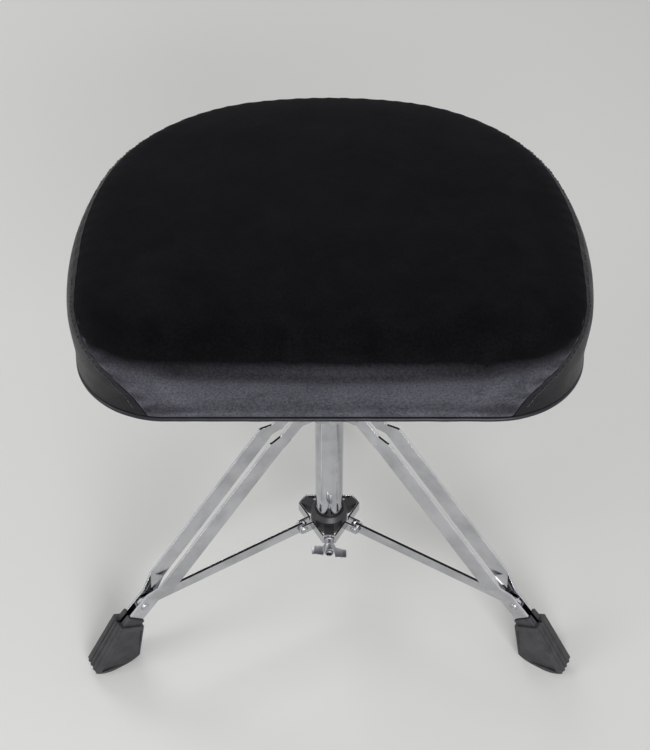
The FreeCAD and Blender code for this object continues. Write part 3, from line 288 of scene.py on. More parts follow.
@dataclass(frozen=True)
class CrushedVelour:
    """Black polyester velour: a short pile that brightens at grazing light, brushed in
    soft patches, with the backing's knit barely showing. Upright walls are coloured
    lighter than the top: a painted sheen."""

    name: str = "polyester_velour"
    colour: str = "030304"
    brushed: str = "101012"
    # Lighter colours for upright walls: a painted sheen.
    painted_sheen_wall: str = "34343A"
    painted_sheen_wall_patch: str = "62626B"
    sheen: str = "B9BDC8"
    sheen_weight: float = 0.04
    sheen_roughness: float = 0.5
    roughness: float = 0.92
    specular: float = 0.06
    pile_mm: float = 2.0
    pile_depth_mm: float = 0.3
    patch_mm: float = 42.0

    def build(self) -> bpy.types.Material:
        """Make the velour.

        The pile is drawn about five times as coarse as it is. Upright walls get lighter
        colours than the top, a painted sheen, blended in by the surface's tilt.
        """
        material, tree, shader, place = start_material(self.name, Roughness=self.roughness,
                                                       Specular_IOR_Level=self.specular,
                                                       Sheen_Weight=self.sheen_weight,
                                                       Sheen_Roughness=self.sheen_roughness,
                                                       Sheen_Tint=linear(self.sheen))
        patch = noise_field(tree, place, self.patch_mm, Detail=7.0, Roughness=0.62, Distortion=0.6)
        pile = noise_field(tree, place, self.pile_mm, Detail=3.0, Roughness=0.7)
        mixed = add_node(tree, "ShaderNodeMath", {0: patch.outputs["Fac"],
                                                  1: pile.outputs["Fac"]},
                         operation="MULTIPLY")
        above = ramp(tree, mixed.outputs["Value"],
                     [(0.14, linear(self.colour)), (0.4, linear(self.brushed))])
        # Painted sheen: the walls' lighter colours, in the same patches.
        beside = ramp(tree, mixed.outputs["Value"],
                      [(0.14, linear(self.painted_sheen_wall)), (0.4, linear(self.painted_sheen_wall_patch))])
        # Blend by the surface's tilt, with the border wandering with the patches: upright walls
        # take the painted sheen and the top keeps the dark colours.
        facing = add_node(tree, "ShaderNodeNewGeometry")
        split = add_node(tree, "ShaderNodeSeparateXYZ", {0: facing.outputs["Normal"]})
        wander = add_node(tree, "ShaderNodeMath", {0: patch.outputs["Fac"],
                                                   2: split.outputs["Z"]},
                          operation="MULTIPLY_ADD")
        wander.inputs[1].default_value = 0.35
        up = ramp(tree, wander.outputs["Value"],
                  [(0.1, grey(0.0)), (0.27, grey(0.6)), (0.52, grey(1.0))])
        painted_sheen_mix = add_node(tree, "ShaderNodeMix", {"Factor": up, 6: beside, 7: above},
                       data_type="RGBA")
        tree.links.new(painted_sheen_mix.outputs[2], shader.inputs["Base Color"])
        bump(tree, shader, [(patch.outputs["Fac"], 0.5 * MM),
                            (pile.outputs["Fac"], self.pile_depth_mm * MM)])
        return material


@dataclass(frozen=True)
class GrainedVinyl:
    """Black PVC upholstery cloth: embossed leather grain under a satin top coat."""

    name: str
    colour: str = "08090B"
    high: str = "141519"
    roughness: float = 0.38
    coat: float = 0.02
    grain_mm: float = 1.5
    grain_depth_mm: float = 0.11
    fold_mm: float = 26.0

    def build(self) -> bpy.types.Material:
        """Make the vinyl."""
        material, tree, shader, place = start_material(self.name, IOR=1.53,
                                                       Specular_IOR_Level=0.15,
                                                       Coat_Weight=self.coat, Coat_Roughness=0.3)
        warp = noise_field(tree, place, self.fold_mm, Detail=4.0)
        pebble = add_node(tree, "ShaderNodeTexVoronoi", {"Vector": place},
                          feature="DISTANCE_TO_EDGE", Scale=1 / (self.grain_mm * MM))
        # The grain's valleys are coloured darker than its tops: painted shade in the grooves.
        valley = ramp(tree, pebble.outputs["Distance"], [(0.0, grey(0.0)), (0.18, grey(1.0))])
        tint(tree, shader, valley, (0.0, self.colour), (1.0, self.high))
        rough = ramp(tree, warp.outputs["Fac"],
                     [(0.3, grey(self.roughness - 0.06)), (0.7, grey(self.roughness + 0.08))])
        tree.links.new(rough, shader.inputs["Roughness"])
        bump(tree, shader, [(warp.outputs["Fac"], 0.6 * MM),
                            (valley, self.grain_depth_mm * MM)])
        return material


@dataclass(frozen=True)
class MouldedPlastic:
    """Injection-moulded plastic: satin, with the mould's fine spark texture."""

    name: str
    colour: str
    light: str
    roughness: float = 0.45
    spark_mm: float = 0.5
    spark_depth_mm: float = 0.02

    def build(self) -> bpy.types.Material:
        """Make the plastic."""
        material, tree, shader, place = start_material(self.name, IOR=1.53,
                                                       Roughness=self.roughness)
        spark = noise_field(tree, place, self.spark_mm, Detail=2.0)
        tint(tree, shader, spark.outputs["Fac"], (0.3, self.colour), (0.8, self.light))
        bump(tree, shader, [(spark.outputs["Fac"], self.spark_depth_mm * MM)], 0.3 * MM)
        return material


@dataclass(frozen=True)
class PowderCoat:
    """Black powder-coated steel: orange-peel waves, rubbed a little greyer in patches."""

    name: str = "black_powder_coat"
    colour: str = "18181A"
    rubbed: str = "34353A"
    roughness: float = 0.4
    peel_mm: float = 1.6
    peel_depth_mm: float = 0.05

    def build(self) -> bpy.types.Material:
        """Make the powder coat."""
        material, tree, shader, place = start_material(self.name, Roughness=self.roughness)
        peel = noise_field(tree, place, self.peel_mm, Detail=1.0)
        rub = noise_field(tree, place, 18.0, Detail=8.0, Roughness=0.7)
        tint(tree, shader, rub.outputs["Fac"], (0.55, self.colour), (0.8, self.rubbed))
        bump(tree, shader, [(peel.outputs["Fac"], self.peel_depth_mm * MM)], 0.5 * MM)
        return material


@dataclass(frozen=True)
class BirchPlywood:
    """Raw birch plywood: pale plies stacked along Z, with darker glue lines."""

    name: str = "birch_plywood"
    pale: str = "C9A878"
    dark: str = "8A6238"
    ply_mm: float = 1.5
    figure_mm: float = 60.0

    def build(self) -> bpy.types.Material:
        """Make the plywood."""
        material, tree, shader, place = start_material(self.name, Roughness=0.72)
        plies = add_node(tree, "ShaderNodeTexWave", {"Vector": place}, bands_direction="Z",
                         Scale=math.tau / (20 * 2 * self.ply_mm * MM), Distortion=0.4)
        figure = noise_field(tree, place, self.figure_mm, Detail=8.0, Distortion=2.0)
        both = add_node(tree, "ShaderNodeMath", {0: plies.outputs["Fac"],
                                                 1: figure.outputs["Fac"]},
                        operation="MULTIPLY")
        tint(tree, shader, both.outputs["Value"], (0.1, self.dark), (0.55, self.pale))
        bump(tree, shader, [(figure.outputs["Fac"], 0.1 * MM)])
        return material


@dataclass(frozen=True)
class SpunCloth:
    """Thin black non-woven dust cloth, point-bonded in a fine grid."""

    name: str = "spunbond_polypropylene"
    colour: str = "1B1B1C"
    fibre: str = "333335"
    bond_mm: float = 1.6

    def build(self) -> bpy.types.Material:
        """Make the dust cloth. Its bond points are drawn twice as coarse as they are."""
        material, tree, shader, place = start_material(self.name, Roughness=0.9)
        bond = add_node(tree, "ShaderNodeTexVoronoi", {"Vector": place},
                        Scale=1 / (self.bond_mm * MM), Randomness=0.15)
        fibre = noise_field(tree, place, 0.7, Detail=5.0)
        tint(tree, shader, fibre.outputs["Fac"], (0.35, self.colour), (0.75, self.fibre))
        bump(tree, shader, [(bond.outputs["Distance"], 0.15 * MM),
                            (fibre.outputs["Fac"], 0.08 * MM)])
        return material


@dataclass(frozen=True)
class PolyesterThread:
    """Twisted polyester sewing thread, a little brighter than the vinyl that it sews."""

    name: str = "polyester_thread"
    colour: str = "3C3E46"

    def build(self) -> bpy.types.Material:
        """Make the thread."""
        material, tree, shader, place = start_material(self.name, Roughness=0.5)
        twist = noise_field(tree, place, 0.4)
        tint(tree, shader, twist.outputs["Fac"], (0.3, "202126"), (0.7, self.colour))
        return material


@dataclass(frozen=True)
class UrethaneFoam:
    """Moulded grey urethane foam with open cells."""

    name: str = "urethane_foam"
    colour: str = "4A4A48"
    light: str = "6E6E6A"
    cell_mm: float = 2.0

    def build(self) -> bpy.types.Material:
        """Make the foam."""
        material, tree, shader, place = start_material(self.name, Roughness=0.95)
        cell = add_node(tree, "ShaderNodeTexVoronoi", {"Vector": place},
                        Scale=1 / (self.cell_mm * MM))
        # The cells' hollows are coloured darker than their walls: painted shade in the pits.
        tint(tree, shader, cell.outputs["Distance"], (0.2, self.colour), (0.8, self.light))
        bump(tree, shader, [(cell.outputs["Distance"], 0.4 * MM)])
        return material


class Finish(Enum):
    """The finishes of this throne."""

    CHROME = PlatedSteel("polished_chrome", "C8C9CC", "B2B3B7", 0.05, 0.12)
    ZINC = PlatedSteel("bright_zinc", "C2C4C6", "9FA1A4", 0.2, 0.34, wave_mm=9.0,
                       grain_depth_mm=0.003)
    CAST_ZINC = PlatedSteel("plated_zinc_casting", "A9ABAE", "8E9094", 0.28, 0.42,
                            wave_mm=12.0, grain_mm=0.8, grain_depth_mm=0.006, edge_mm=0.6)
    RUBBER = MouldedRubber()
    VELOUR = CrushedVelour()
    VINYL = GrainedVinyl("grained_pvc")
    # Lighter than the band's vinyl: partly a smoother PVC of its own and partly a painted
    # highlight along the lower edge.
    PIPING = GrainedVinyl("smooth_pvc", "17181C", "26272D", 0.24, grain_mm=1.0,
                          grain_depth_mm=0.03, coat=0.2)
    NYLON = MouldedPlastic("moulded_nylon", "1A1A1C", "2A2A2D", 0.38)
    PLUG = MouldedPlastic("moulded_polyethylene", "1C1C1D", "2B2B2C", 0.5)
    COAT = PowderCoat()
    PLYWOOD = BirchPlywood()
    DUST_CLOTH = SpunCloth()
    THREAD = PolyesterThread()
    FOAM = UrethaneFoam()

    @property
    def material(self) -> bpy.types.Material:
        """The finish's material, made once."""
        made = bpy.data.materials.get(self.value.name)
        return made or self.value.build()


# ------------------------------------------------------------------ mesh helpers

def piece(name: str, mesh: bmesh.types.BMesh, finish: Finish, body: str,
          stands_for: tuple[str, ...] = (), smooth: float | None = 40.0) -> bpy.types.Object:
    """Turn a bmesh into a finished piece of the throne.

    Args:
        name: The piece's name.
        mesh: Its mesh, in the row's frame. It is freed.
        finish: Its finish.
        body: The body that it rides on.
        stands_for: The CAD nodes that it replaces.
        smooth: Angle in degrees above which edges stay sharp, or None for flat faces.

    Returns:
        The object.
    """
    bmesh.ops.recalc_face_normals(mesh, faces=mesh.faces)
    data = bpy.data.meshes.new(name)
    mesh.to_mesh(data)
    mesh.free()
    if smooth is not None:
        data.shade_smooth()
        data.set_sharp_from_angle(angle=math.radians(smooth))
    made = bpy.data.objects.new(name, data)
    bpy.context.collection.objects.link(made)
    data.materials.append(finish.material)
    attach(made, body)
    if stands_for:
        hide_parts(*stands_for)
    log.info("%s: %d faces on %s", name, len(data.polygons), body)
    return made


def dress(nodes: list[str], finish: Finish, frame: dict) -> None:
    """Give carried-over CAD nodes a finish.

    Args:
        nodes: Names of the nodes.
        finish: Their finish.
    """
    for name in nodes:
        node = frame["nodes"][name]
        node.data.materials.clear()
        node.data.materials.append(finish.material)
        log.info("%s: dressed in %s", name, finish.value.name)


def sweep_rings(mesh: bmesh.types.BMesh, rings: list[list[Vector]], closed: bool,
                capped: bool = True) -> None:
    """Skin a row of equal rings.

    Args:
        mesh: The mesh that takes the faces.
        rings: Rings with the same number of points.
        closed: Whether the last ring joins the first.
        capped: Whether open ends are closed by a face.
    """
    rows = [[mesh.verts.new(point) for point in ring] for ring in rings]
    count = len(rows[0])
    steps = len(rows) if closed else len(rows) - 1
    for step in range(steps):
        here, there = rows[step], rows[(step + 1) % len(rows)]
        for index in range(count):
            after = (index + 1) % count
            mesh.faces.new((here[index], here[after], there[after], there[index]))
    if capped and not closed:
        mesh.faces.new(rows[0][::-1])
        mesh.faces.new(rows[-1])


def circle(radius: float, height: float, around: int) -> list[Vector]:
    """Points of a level circle round the Z axis.

    Args:
        radius: Its radius.
        height: Its height.
        around: How many points.

    Returns:
        The points, counter-clockwise from +X.
    """
    turns = [math.tau * step / around for step in range(around)]
    return [Vector((radius * math.cos(turn), radius * math.sin(turn), height))
            for turn in turns]


def lathe(mesh: bmesh.types.BMesh, profile: list[tuple[float, float]], place: Matrix,
          around: int = 48) -> None:
    """Turn a closed profile around Z.

    Args:
        mesh: The mesh that takes the faces.
        profile: Closed loop of (radius, height), radius over 0.
        place: Where the axis goes.
        around: Points around.
    """
    rings = []
    for step in range(around):
        turn = math.tau * step / around
        rings.append([place @ Vector((radius * math.cos(turn), radius * math.sin(turn), z))
                      for radius, z in profile])
    sweep_rings(mesh, rings, closed=True)


def tube_along(mesh: bmesh.types.BMesh, points: list[Vector], radius: float, closed: bool,
               around: int = 10) -> None:
    """Sweep a round section along points.

    Args:
        mesh: The mesh that takes the faces.
        points: The centre line.
        radius: The section's radius.
        closed: Whether the line is a loop.
        around: Points around the section.
    """
    count = len(points)
    rings = []
    up = Vector((0, 0, 1))
    for index, point in enumerate(points):
        before = points[(index - 1) % count] if closed or index else point
        after = points[(index + 1) % count] if closed or index < count - 1 else point
        along = (after - before).normalized()
        side = along.cross(up)
        side = side.normalized() if side.length > 0.05 else Vector((1, 0, 0))
        lift = side.cross(along)
        rings.append([point + (side * math.cos(math.tau * k / around)
                               + lift * math.sin(math.tau * k / around)) * radius
                      for k in range(around)])
    sweep_rings(mesh, rings, closed)


def leg_frame(azimuth: float) -> Matrix:
    """Frame of a leg's plane: +X outward, +Y across, +Z up.

    Args:
        azimuth: The leg's direction in degrees.

    Returns:
        The rotation about the column.
    """
    return Matrix.Rotation(math.radians(azimuth), 4, "Z")


LEGS = {"left": 210.0, "right": 330.0, "rear": 90.0}


# ------------------------------------------------------------------ seat

@dataclass
class Seat:
    """Foam saddle seat: velour top and front, vinyl sides and back, piping, underside."""

    half_width: float = 234.0 * MM
    widest: float = 16.0 * MM
    back: float = 254.0 * MM
    front: float = 132.3 * MM
    side_arc: float = 380.0 * MM
    back_arc: float = 385.0 * MM
    corner_arc: float = 190.0 * MM
    front_arc: float = 88.0 * MM
    belly: float = 2.2 * MM
    shoulder: float = 34.0 * MM
    crown: float = 5.0 * MM
    crown_reach: float = 110.0 * MM
    fold: float = 1.0 * MM
    slack: float = 1.6 * MM
    foam_gap: float = 4.5 * MM
    foam_drop: float = 12.0 * MM
    grid: float = 5.6 * MM
    columns: int = 320
    wall_rows: int = 15
    shoulder_rows: int = 13
    swell: float = 1.6 * MM
    yielding: float = 0.3 * MM
    pressure: float = 3.0
    held_reach: float = 3.5 * MM
    relaxing: int = 9
    last_frame: int = 16
    seam_drop: float = 12.0 * MM
    seam_foot: float = 154.0 * MM
    seam_knee: float = 216.0 * MM
    seam_turn: float = -70.0 * MM
    seam_blend: float = 60.0 * MM
    seam_gap: float = 0.5 * MM
    seam_depth: float = 2.4 * MM
    lip: float = 0.9 * MM
    cover: float = 1.2 * MM
    pucker: float = 0.55 * MM
    pucker_reach: float = 11.0 * MM
    pucker_wave: float = 17.0 * MM
    stitch_row: float = 7.0 * MM
    stitch_pitch: float = 5.0 * MM
    stitch_length: float = 3.4 * MM
    stitch_radius: float = 0.45 * MM
    hem_width: float = 31.0 * MM
    hem_steps: int = 6
    pleat: float = 0.9 * MM
    pleat_wave: float = 13.0 * MM
    crowded: tuple = ((190 * MM, -80 * MM, 80 * MM, 1.0), (150 * MM, 190 * MM, 110 * MM, 0.7))
    sheet_pitch: float = 7.0 * MM
    staple_width: float = 10.0 * MM
    staple_wire: float = 0.4 * MM
    staple_pitch: float = 17.0 * MM

    def __post_init__(self) -> None:
        """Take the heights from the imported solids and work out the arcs' centres."""
        low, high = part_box("velour_top")
        self.bottom = low[2]
        self.top = high[2]
        side = Vector((self.half_width - self.side_arc, self.widest))
        front_y = self.front_arc - self.front
        reach = self.side_arc - self.front_arc
        front_x = side.x + math.sqrt(reach ** 2 - (side.y - front_y) ** 2)
        back = Vector((0.0, self.back - self.back_arc))
        span = back - side
        near = self.side_arc - self.corner_arc
        far = self.back_arc - self.corner_arc
        part = (near ** 2 - far ** 2 + span.length_squared) / (2 * span.length)
        off = math.sqrt(near ** 2 - part ** 2)
        along = span.normalized()
        corner = side + along * part + Vector((-along.y, along.x)) * off
        self.centres = (Vector((front_x, front_y)), side, corner, back)

    def outline(self, inset: float, count: int | None = None) -> list[Vector]:
        """Points of the seat's outline of tangent arcs, moved in by inset.

        Args:
            inset: Distance inside the outline.
            count: How many points.

        Returns:
            Points in plan, counter-clockwise from the middle of the front edge.
        """
        front, side, corner, back = self.centres
        quarter = math.pi / 2
        turns = [-quarter] + [math.atan2(way.y, way.x) for way in
                              (front - side, corner - side, corner - back)] + [quarter]
        arcs = [(front, self.front_arc), (side, self.side_arc),
                (corner, self.corner_arc), (back, self.back_arc)]
        steps = 60
        half = [Vector((0.0, inset - self.front))]
        for (centre, radius), start, end in zip(arcs, turns, turns[1:]):
            for step in range(steps + 1):
                turn = start + (end - start) * step / steps
                way = Vector((math.cos(turn), math.sin(turn)))
                half.append(centre + way * (radius - inset))
        mirrored = [Vector((-point.x, point.y)) for point in reversed(half)]
        return resample(half + mirrored[1:-1], count or self.columns)

    def on_seam(self, edge: bmesh.types.BMEdge) -> bool:
        """Whether an open edge of a panel lies at the seam and not below the board.

        Args:
            edge: An edge of the velour or the vinyl panel.

        Returns:
            True for a seam edge.
        """
        above = self.bottom + 0.2 * MM
        return edge.is_boundary and max(vertex.co.z for vertex in edge.verts) > above

    def profile(self) -> list[tuple[float, float]]:
        """Inset and height of each ring, from under the board to the top's rim."""
        quarter = math.pi / 2
        foot = self.belly
        rows = [(foot + 7 * MM, self.bottom)]
        for step in range(5):
            turn = quarter * step / 4
            rows.append((foot + self.fold * (1 - math.sin(turn)),
                         self.bottom + self.fold * (1 - math.cos(turn))))
        rim = self.top - self.crown - self.slack
        wall = rim - self.shoulder - self.bottom - self.fold
        for step in range(1, self.wall_rows):
            share = step / self.wall_rows
            grown = self.slack * min(share * 3, 1.0)
            rows.append((foot - self.belly * math.sin(quarter * share) + grown,
                         self.bottom + self.fold + wall * share))
        for step in range(self.shoulder_rows + 1):
            turn = quarter * step / self.shoulder_rows
            rows.append((self.slack + self.shoulder * (1 - math.cos(turn)),
                         rim - self.shoulder * (1 - math.sin(turn))))
        return rows

    def form(self) -> bpy.types.Object:
        """The cushion's skin before it is blown up, open below.

        Returns:
            An object whose mesh has rings up the side and even triangles on top.
        """
        mesh = bmesh.new()
        rows = self.profile()
        rings = [[Vector((*point, height)) for point in self.outline(inset)]
                 for inset, height in rows]
        sweep_rings(mesh, rings, closed=False, capped=False)
        rim = [point.xy for point in rings[-1]]
        finder = KDTree(len(rim))
        for index, point in enumerate(rim):
            finder.insert((point.x, point.y, 0), index)
        finder.balance()
        inside = self.outline(rows[-1][0] + self.grid * 0.7)
        spots = list(rim)
        step_y = self.grid * math.sqrt(3) / 2
        for row in range(-int(self.front / step_y) - 1, int(self.back / step_y) + 2):
            for column in range(-60, 61):
                spot = Vector(((column + row % 2 / 2) * self.grid, row * step_y))
                if within(spot, inside):
                    spots.append(spot)
        count = len(rim)
        ring = [(index, (index + 1) % count) for index in range(count)]
        points, _, faces, *_ = delaunay_2d_cdt(spots, ring, [list(range(count))], 1, 1e-7)
        height = rings[-1][0].z
        made = []
        for point in points:
            _, _, away = finder.find((point.x, point.y, 0))
            share = 1 - min(away / self.crown_reach, 1.0)
            made.append(mesh.verts.new((*point, height + self.crown * (1 - share ** 2))))
        for face in faces:
            mesh.faces.new([made[index] for index in face])
        bmesh.ops.remove_doubles(mesh, verts=mesh.verts, dist=0.02 * MM)
        bmesh.ops.recalc_face_normals(mesh, faces=mesh.faces)
        crest = max(mesh.faces, key=lambda face: face.calc_center_median().z)
        if crest.normal.z < 0:
            bmesh.ops.reverse_faces(mesh, faces=mesh.faces)
        data = bpy.data.meshes.new("cushion_skin")
        mesh.to_mesh(data)
        mesh.free()
        skin = bpy.data.objects.new("cushion_skin", data)
        bpy.context.collection.objects.link(skin)
        return skin

    def seam_level(self, point: Vector) -> float:
        """Height of a point over the seam: over 0 is velour, under 0 is vinyl.

        Args:
            point: A place on the skin before it is blown up.

        Returns:
            The signed distance in metres, near enough beside the seam.
        """
        height = self.top - self.slack - self.seam_drop
        across = abs(point.x)
        over = point.z - height
        if point.y > self.seam_turn + self.seam_blend:
            return over
        rise = height - self.bottom
        share = (point.z - self.bottom) / rise
        bend = math.pi * min(max(share, 0.0), 1.0)
        bow = 4 * MM * math.sin(bend) + 5 * MM * math.sin(2 * bend)
        line = self.seam_foot + (self.seam_knee - self.seam_foot) * share ** 0.85 - bow \
            if share > 0 else self.seam_foot
        front = (line - across) * 0.8
        blend = min(max((self.seam_turn + self.seam_blend - point.y) / self.seam_blend, 0.0),
                    1.0)
        joined = smooth_max(over, front, 14 * MM)
        return over + (joined - over) * blend

    def inflate(self, skin: bpy.types.Object, level: list[float]) -> None:
        """Blow the skin up as cloth held at its edge and its seam, with the foam behind it.

        Args:
            skin: The skin. Its mesh is changed.
            level: Each vertex's height over the seam.
        """
        start = [vertex.co.copy() for vertex in skin.data.vertices]
        outward = [vertex.normal.copy() for vertex in skin.data.vertices]
        fixed = self.bottom + self.fold
        held = skin.vertex_groups.new(name="held")
        for index, vertex in enumerate(skin.data.vertices):
            near = math.exp(-(level[index] / self.held_reach) ** 2)
            weight = 1.0 if vertex.co.z < fixed else near
            if weight > 0.05:
                held.add([index], weight, "REPLACE")
        cloth = skin.modifiers.new("cloth", "CLOTH")
        cloth.settings.use_pressure = True
        cloth.settings.uniform_pressure_force = self.pressure
        cloth.settings.vertex_group_mass = held.name
        cloth.settings.effector_weights.gravity = 0.0
        cloth.settings.quality = 4
        cloth.collision_settings.use_collision = False
        scene = bpy.context.scene
        for number in range(1, self.last_frame + 1):
            scene.frame_set(number)
        apply_modifiers(skin)
        scene.frame_set(1)
        for vertex, home, normal in zip(skin.data.vertices, start, outward):
            move = vertex.co - home
            sink = -move.dot(normal) - self.yielding
            if sink > 0:
                move += normal * sink
                vertex.co = home + move
            if move.length > self.swell:
                vertex.co = home + move.normalized() * self.swell
        relax = skin.modifiers.new("relax", "SMOOTH")
        relax.factor = 0.5
        relax.iterations = self.relaxing
        apply_modifiers(skin)
        for vertex, home in zip(skin.data.vertices, start):
            if home.z < fixed:
                vertex.co = home

    def split(self, skin: bpy.types.Object, level: list[float]) -> list[bmesh.types.BMesh]:
        """Cut the skin along the seam.

        Args:
            skin: The finished skin.
            level: Each vertex's height over the seam.

        Returns:
            The velour part and the vinyl part.
        """
        mesh = bmesh.new()
        mesh.from_mesh(skin.data)
        mesh.verts.ensure_lookup_table()
        height = {vertex: level[vertex.index] or 1e-7 for vertex in mesh.verts}
        snap = 0.12
        cut = set()
        for edge in list(mesh.edges):
            first, second = edge.verts
            if height[first] * height[second] < 0:
                share = height[first] / (height[first] - height[second])
                for end, reach in ((first, share), (second, 1 - share)):
                    if reach < snap and height[end] != 0:
                        other = edge.other_vert(end)
                        end.co = end.co.lerp(other.co, reach)
                        height[end] = 0.0
                        cut.add(end)
                        break
        for edge in list(mesh.edges):
            first, second = edge.verts
            if height[first] * height[second] < 0:
                share = height[first] / (height[first] - height[second])
                _, vertex = bmesh.utils.edge_split(edge, first, share)
                height[vertex] = 0.0
                cut.add(vertex)
        for face in list(mesh.faces):
            ends = [vertex for vertex in face.verts if vertex in cut]
            if len(ends) == 2 and not any(set(ends) == set(edge.verts) for edge in face.edges):
                bmesh.utils.face_split(face, ends[0], ends[1])
        mesh.verts.index_update()
        parts = []
        for side in (1, -1):
            part = mesh.copy()
            signs = [height[vertex] * side for vertex in mesh.verts]
            drop = [face for face in part.faces
                    if sum(signs[vertex.index] for vertex in face.verts) < 0]
            bmesh.ops.delete(part, geom=drop, context="FACES")
            parts.append(part)
        mesh.free()
        return parts

    def seam_line(self, part: bmesh.types.BMesh) -> list[Vector]:
        """The seam's points in order, from one lower front corner to the other."""
        links = {}
        for edge in part.edges:
            if self.on_seam(edge):
                first, second = edge.verts
                links.setdefault(first, []).append(second)
                links.setdefault(second, []).append(first)
        here = min((vertex for vertex, others in links.items() if len(others) == 1),
                   key=lambda vertex: vertex.co.x)
        line, before = [], None
        while here is not None:
            line.append(here.co.copy())
            after = [vertex for vertex in links[here] if vertex is not before]
            before, here = here, (after[0] if after else None)
        return line

    def pucker_skin(self, part: bmesh.types.BMesh, finder: KDTree, along: list[float]) -> None:
        """Gather the cloth a little beside the seam, where the thread pulls it.

        Args:
            part: The panel.
            finder: Tree of the seam's points.
            along: Each seam point's distance along the seam.
        """
        part.normal_update()
        moves = []
        for vertex in part.verts:
            _, index, away = finder.find(vertex.co)
            if away > 3 * self.pucker_reach:
                continue
            place = along[index]
            wave = math.sin(math.tau * place / self.pucker_wave
                            + 3.0 * noise.noise(Vector((place / (40 * MM), 0.0, 0.0))))
            fade = math.exp(-(away / self.pucker_reach) ** 2) * min(away / (3 * MM), 1.0)
            moves.append((vertex, vertex.normal * wave * fade * self.pucker))
        for vertex, move in moves:
            vertex.co += move

    def turn_in(self, part: bmesh.types.BMesh) -> None:
        """Turn a panel's edge in at the seam, with a rounded lip.

        Args:
            part: The panel.
        """
        part.normal_update()
        rim = [edge for edge in part.edges if self.on_seam(edge)]
        normals = {vertex: vertex.normal.copy() for edge in rim for vertex in edge.verts}
        inward = {}
        for edge in rim:
            face = edge.link_faces[0]
            first, second = edge.verts
            across = (second.co - first.co).cross(face.normal).normalized()
            if across.dot(face.calc_center_median() - first.co) < 0:
                across.negate()
            for vertex in edge.verts:
                inward[vertex] = inward.get(vertex, Vector()) + across
        for vertex, way in inward.items():
            vertex.co += way.normalized() * self.seam_gap
        made = bmesh.ops.extrude_edge_only(part, edges=rim)["geom"]
        walls = [item for item in made if isinstance(item, bmesh.types.BMVert)]
        for vertex in walls:
            source = next(edge.other_vert(vertex) for edge in vertex.link_edges
                          if edge.other_vert(vertex) in normals)
            vertex.co -= normals[source] * self.seam_depth
            vertex.co -= inward[source].normalized() * self.seam_gap
        lips = [edge for edge in rim if edge.is_valid]
        bmesh.ops.bevel(part, geom=lips, offset=self.lip, segments=3, profile=0.5,
                        affect="EDGES", clamp_overlap=True)

    def stitches(self, line: list[Vector], tree: BVHTree) -> None:
        """Sew a row of topstitches in the vinyl beside the seam.

        Args:
            line: The seam's points.
            tree: Tree of the vinyl's surface.
        """
        mesh = bmesh.new()
        total = sum((second - first).length for first, second in zip(line, line[1:]))
        count = int(total / (1.2 * MM))
        fine = resample(line, count, closed=False)
        row = []
        for index in range(2, count - 2):
            spot = fine[index]
            along = (fine[index + 2] - fine[index - 2]).normalized()
            _, normal, _, _ = tree.find_nearest(spot)
            across = along.cross(normal).normalized() * self.stitch_row
            options = [tree.find_nearest(spot + across * way) for way in (1, -1)]
            near, lift, _, _ = min(options, key=lambda found: found[0].z)
            row.append((near, lift))
        places = [near for near, _ in row]
        length = [0.0]
        for first, second in zip(places, places[1:]):
            length.append(length[-1] + (second - first).length)
        index = 0
        for number in range(int(length[-1] / self.stitch_pitch)):
            start = number * self.stitch_pitch
            points = []
            for share in (0.0, 0.2, 0.5, 0.8, 1.0):
                target = start + share * self.stitch_length
                while index < len(length) - 2 and length[index + 1] < target:
                    index += 1
                spot, lift = row[index]
                after, _ = row[min(index + 1, len(row) - 1)]
                step = length[min(index + 1, len(length) - 1)] - length[index] or 1.0
                spot = spot.lerp(after, min(max((target - length[index]) / step, 0), 1))
                arch = math.sin(math.pi * share) - 0.45
                points.append(spot + lift * arch * self.stitch_radius * 1.3)
            if min(point.z for point in points) > self.bottom + 4 * MM:
                tube_along(mesh, points, self.stitch_radius, closed=False, around=6)
        piece("topstitching", mesh, Finish.THREAD, "seat", smooth=60.0)

    def core(self) -> None:
        """The foam inside the covers."""
        mesh = bmesh.new()
        gap = self.slack + self.foam_gap
        board_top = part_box("seat_board")[1][2] + 0.3 * MM
        rim = self.top - self.foam_drop
        round_off = self.shoulder - 3 * MM
        rings = [[Vector((*point, board_top)) for point in self.outline(gap, 120)]]
        for step in range(9):
            turn = math.pi / 2 * step / 8
            inset = gap + round_off * (1 - math.cos(turn))
            height = rim - round_off * (1 - math.sin(turn))
            rings.append([Vector((*point, height)) for point in self.outline(inset, 120)])
        sweep_rings(mesh, rings, closed=False)
        core = piece("foam_core", mesh, Finish.FOAM, "seat", ("seat_foam",))

    def piping(self) -> None:
        """Vinyl piping that closes the lower edge, drawn a little unevenly over its cord."""
        low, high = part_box("edge_welt")
        radius = (high[2] - low[2]) / 2
        inset = self.belly + radius * 0.55
        centre = []
        for index, point in enumerate(self.outline(inset, 720)):
            wander = noise.noise(Vector((index / 9, 0.0, 4.0)))
            centre.append(Vector((*point, low[2] + radius + 0.35 * MM * wander)))
        mesh = bmesh.new()
        tube_along(mesh, centre, radius, closed=True, around=14)
        piece("edge_piping", mesh, Finish.PIPING, "seat", ("edge_welt",))

    def gather(self, point: Vector, place: float) -> float:
        """Depth of the hem's pleats, which crowd round the corners.

        Args:
            point: A place on the outline.
            place: Its distance along the outline.

        Returns:
            A depth in metres.
        """
        crowding = 0.12
        for x, y, reach, share in self.crowded:
            away = (abs(point.x) - x) ** 2 + (point.y - y) ** 2
            crowding += share * math.exp(-away / reach ** 2)
        wave = 0.5 + 0.5 * math.sin(math.tau * place / self.pleat_wave
                                    + 2 * noise.noise(Vector((place / (30 * MM), 0.0, 1.0))))
        return self.pleat * wave ** 3 * crowding

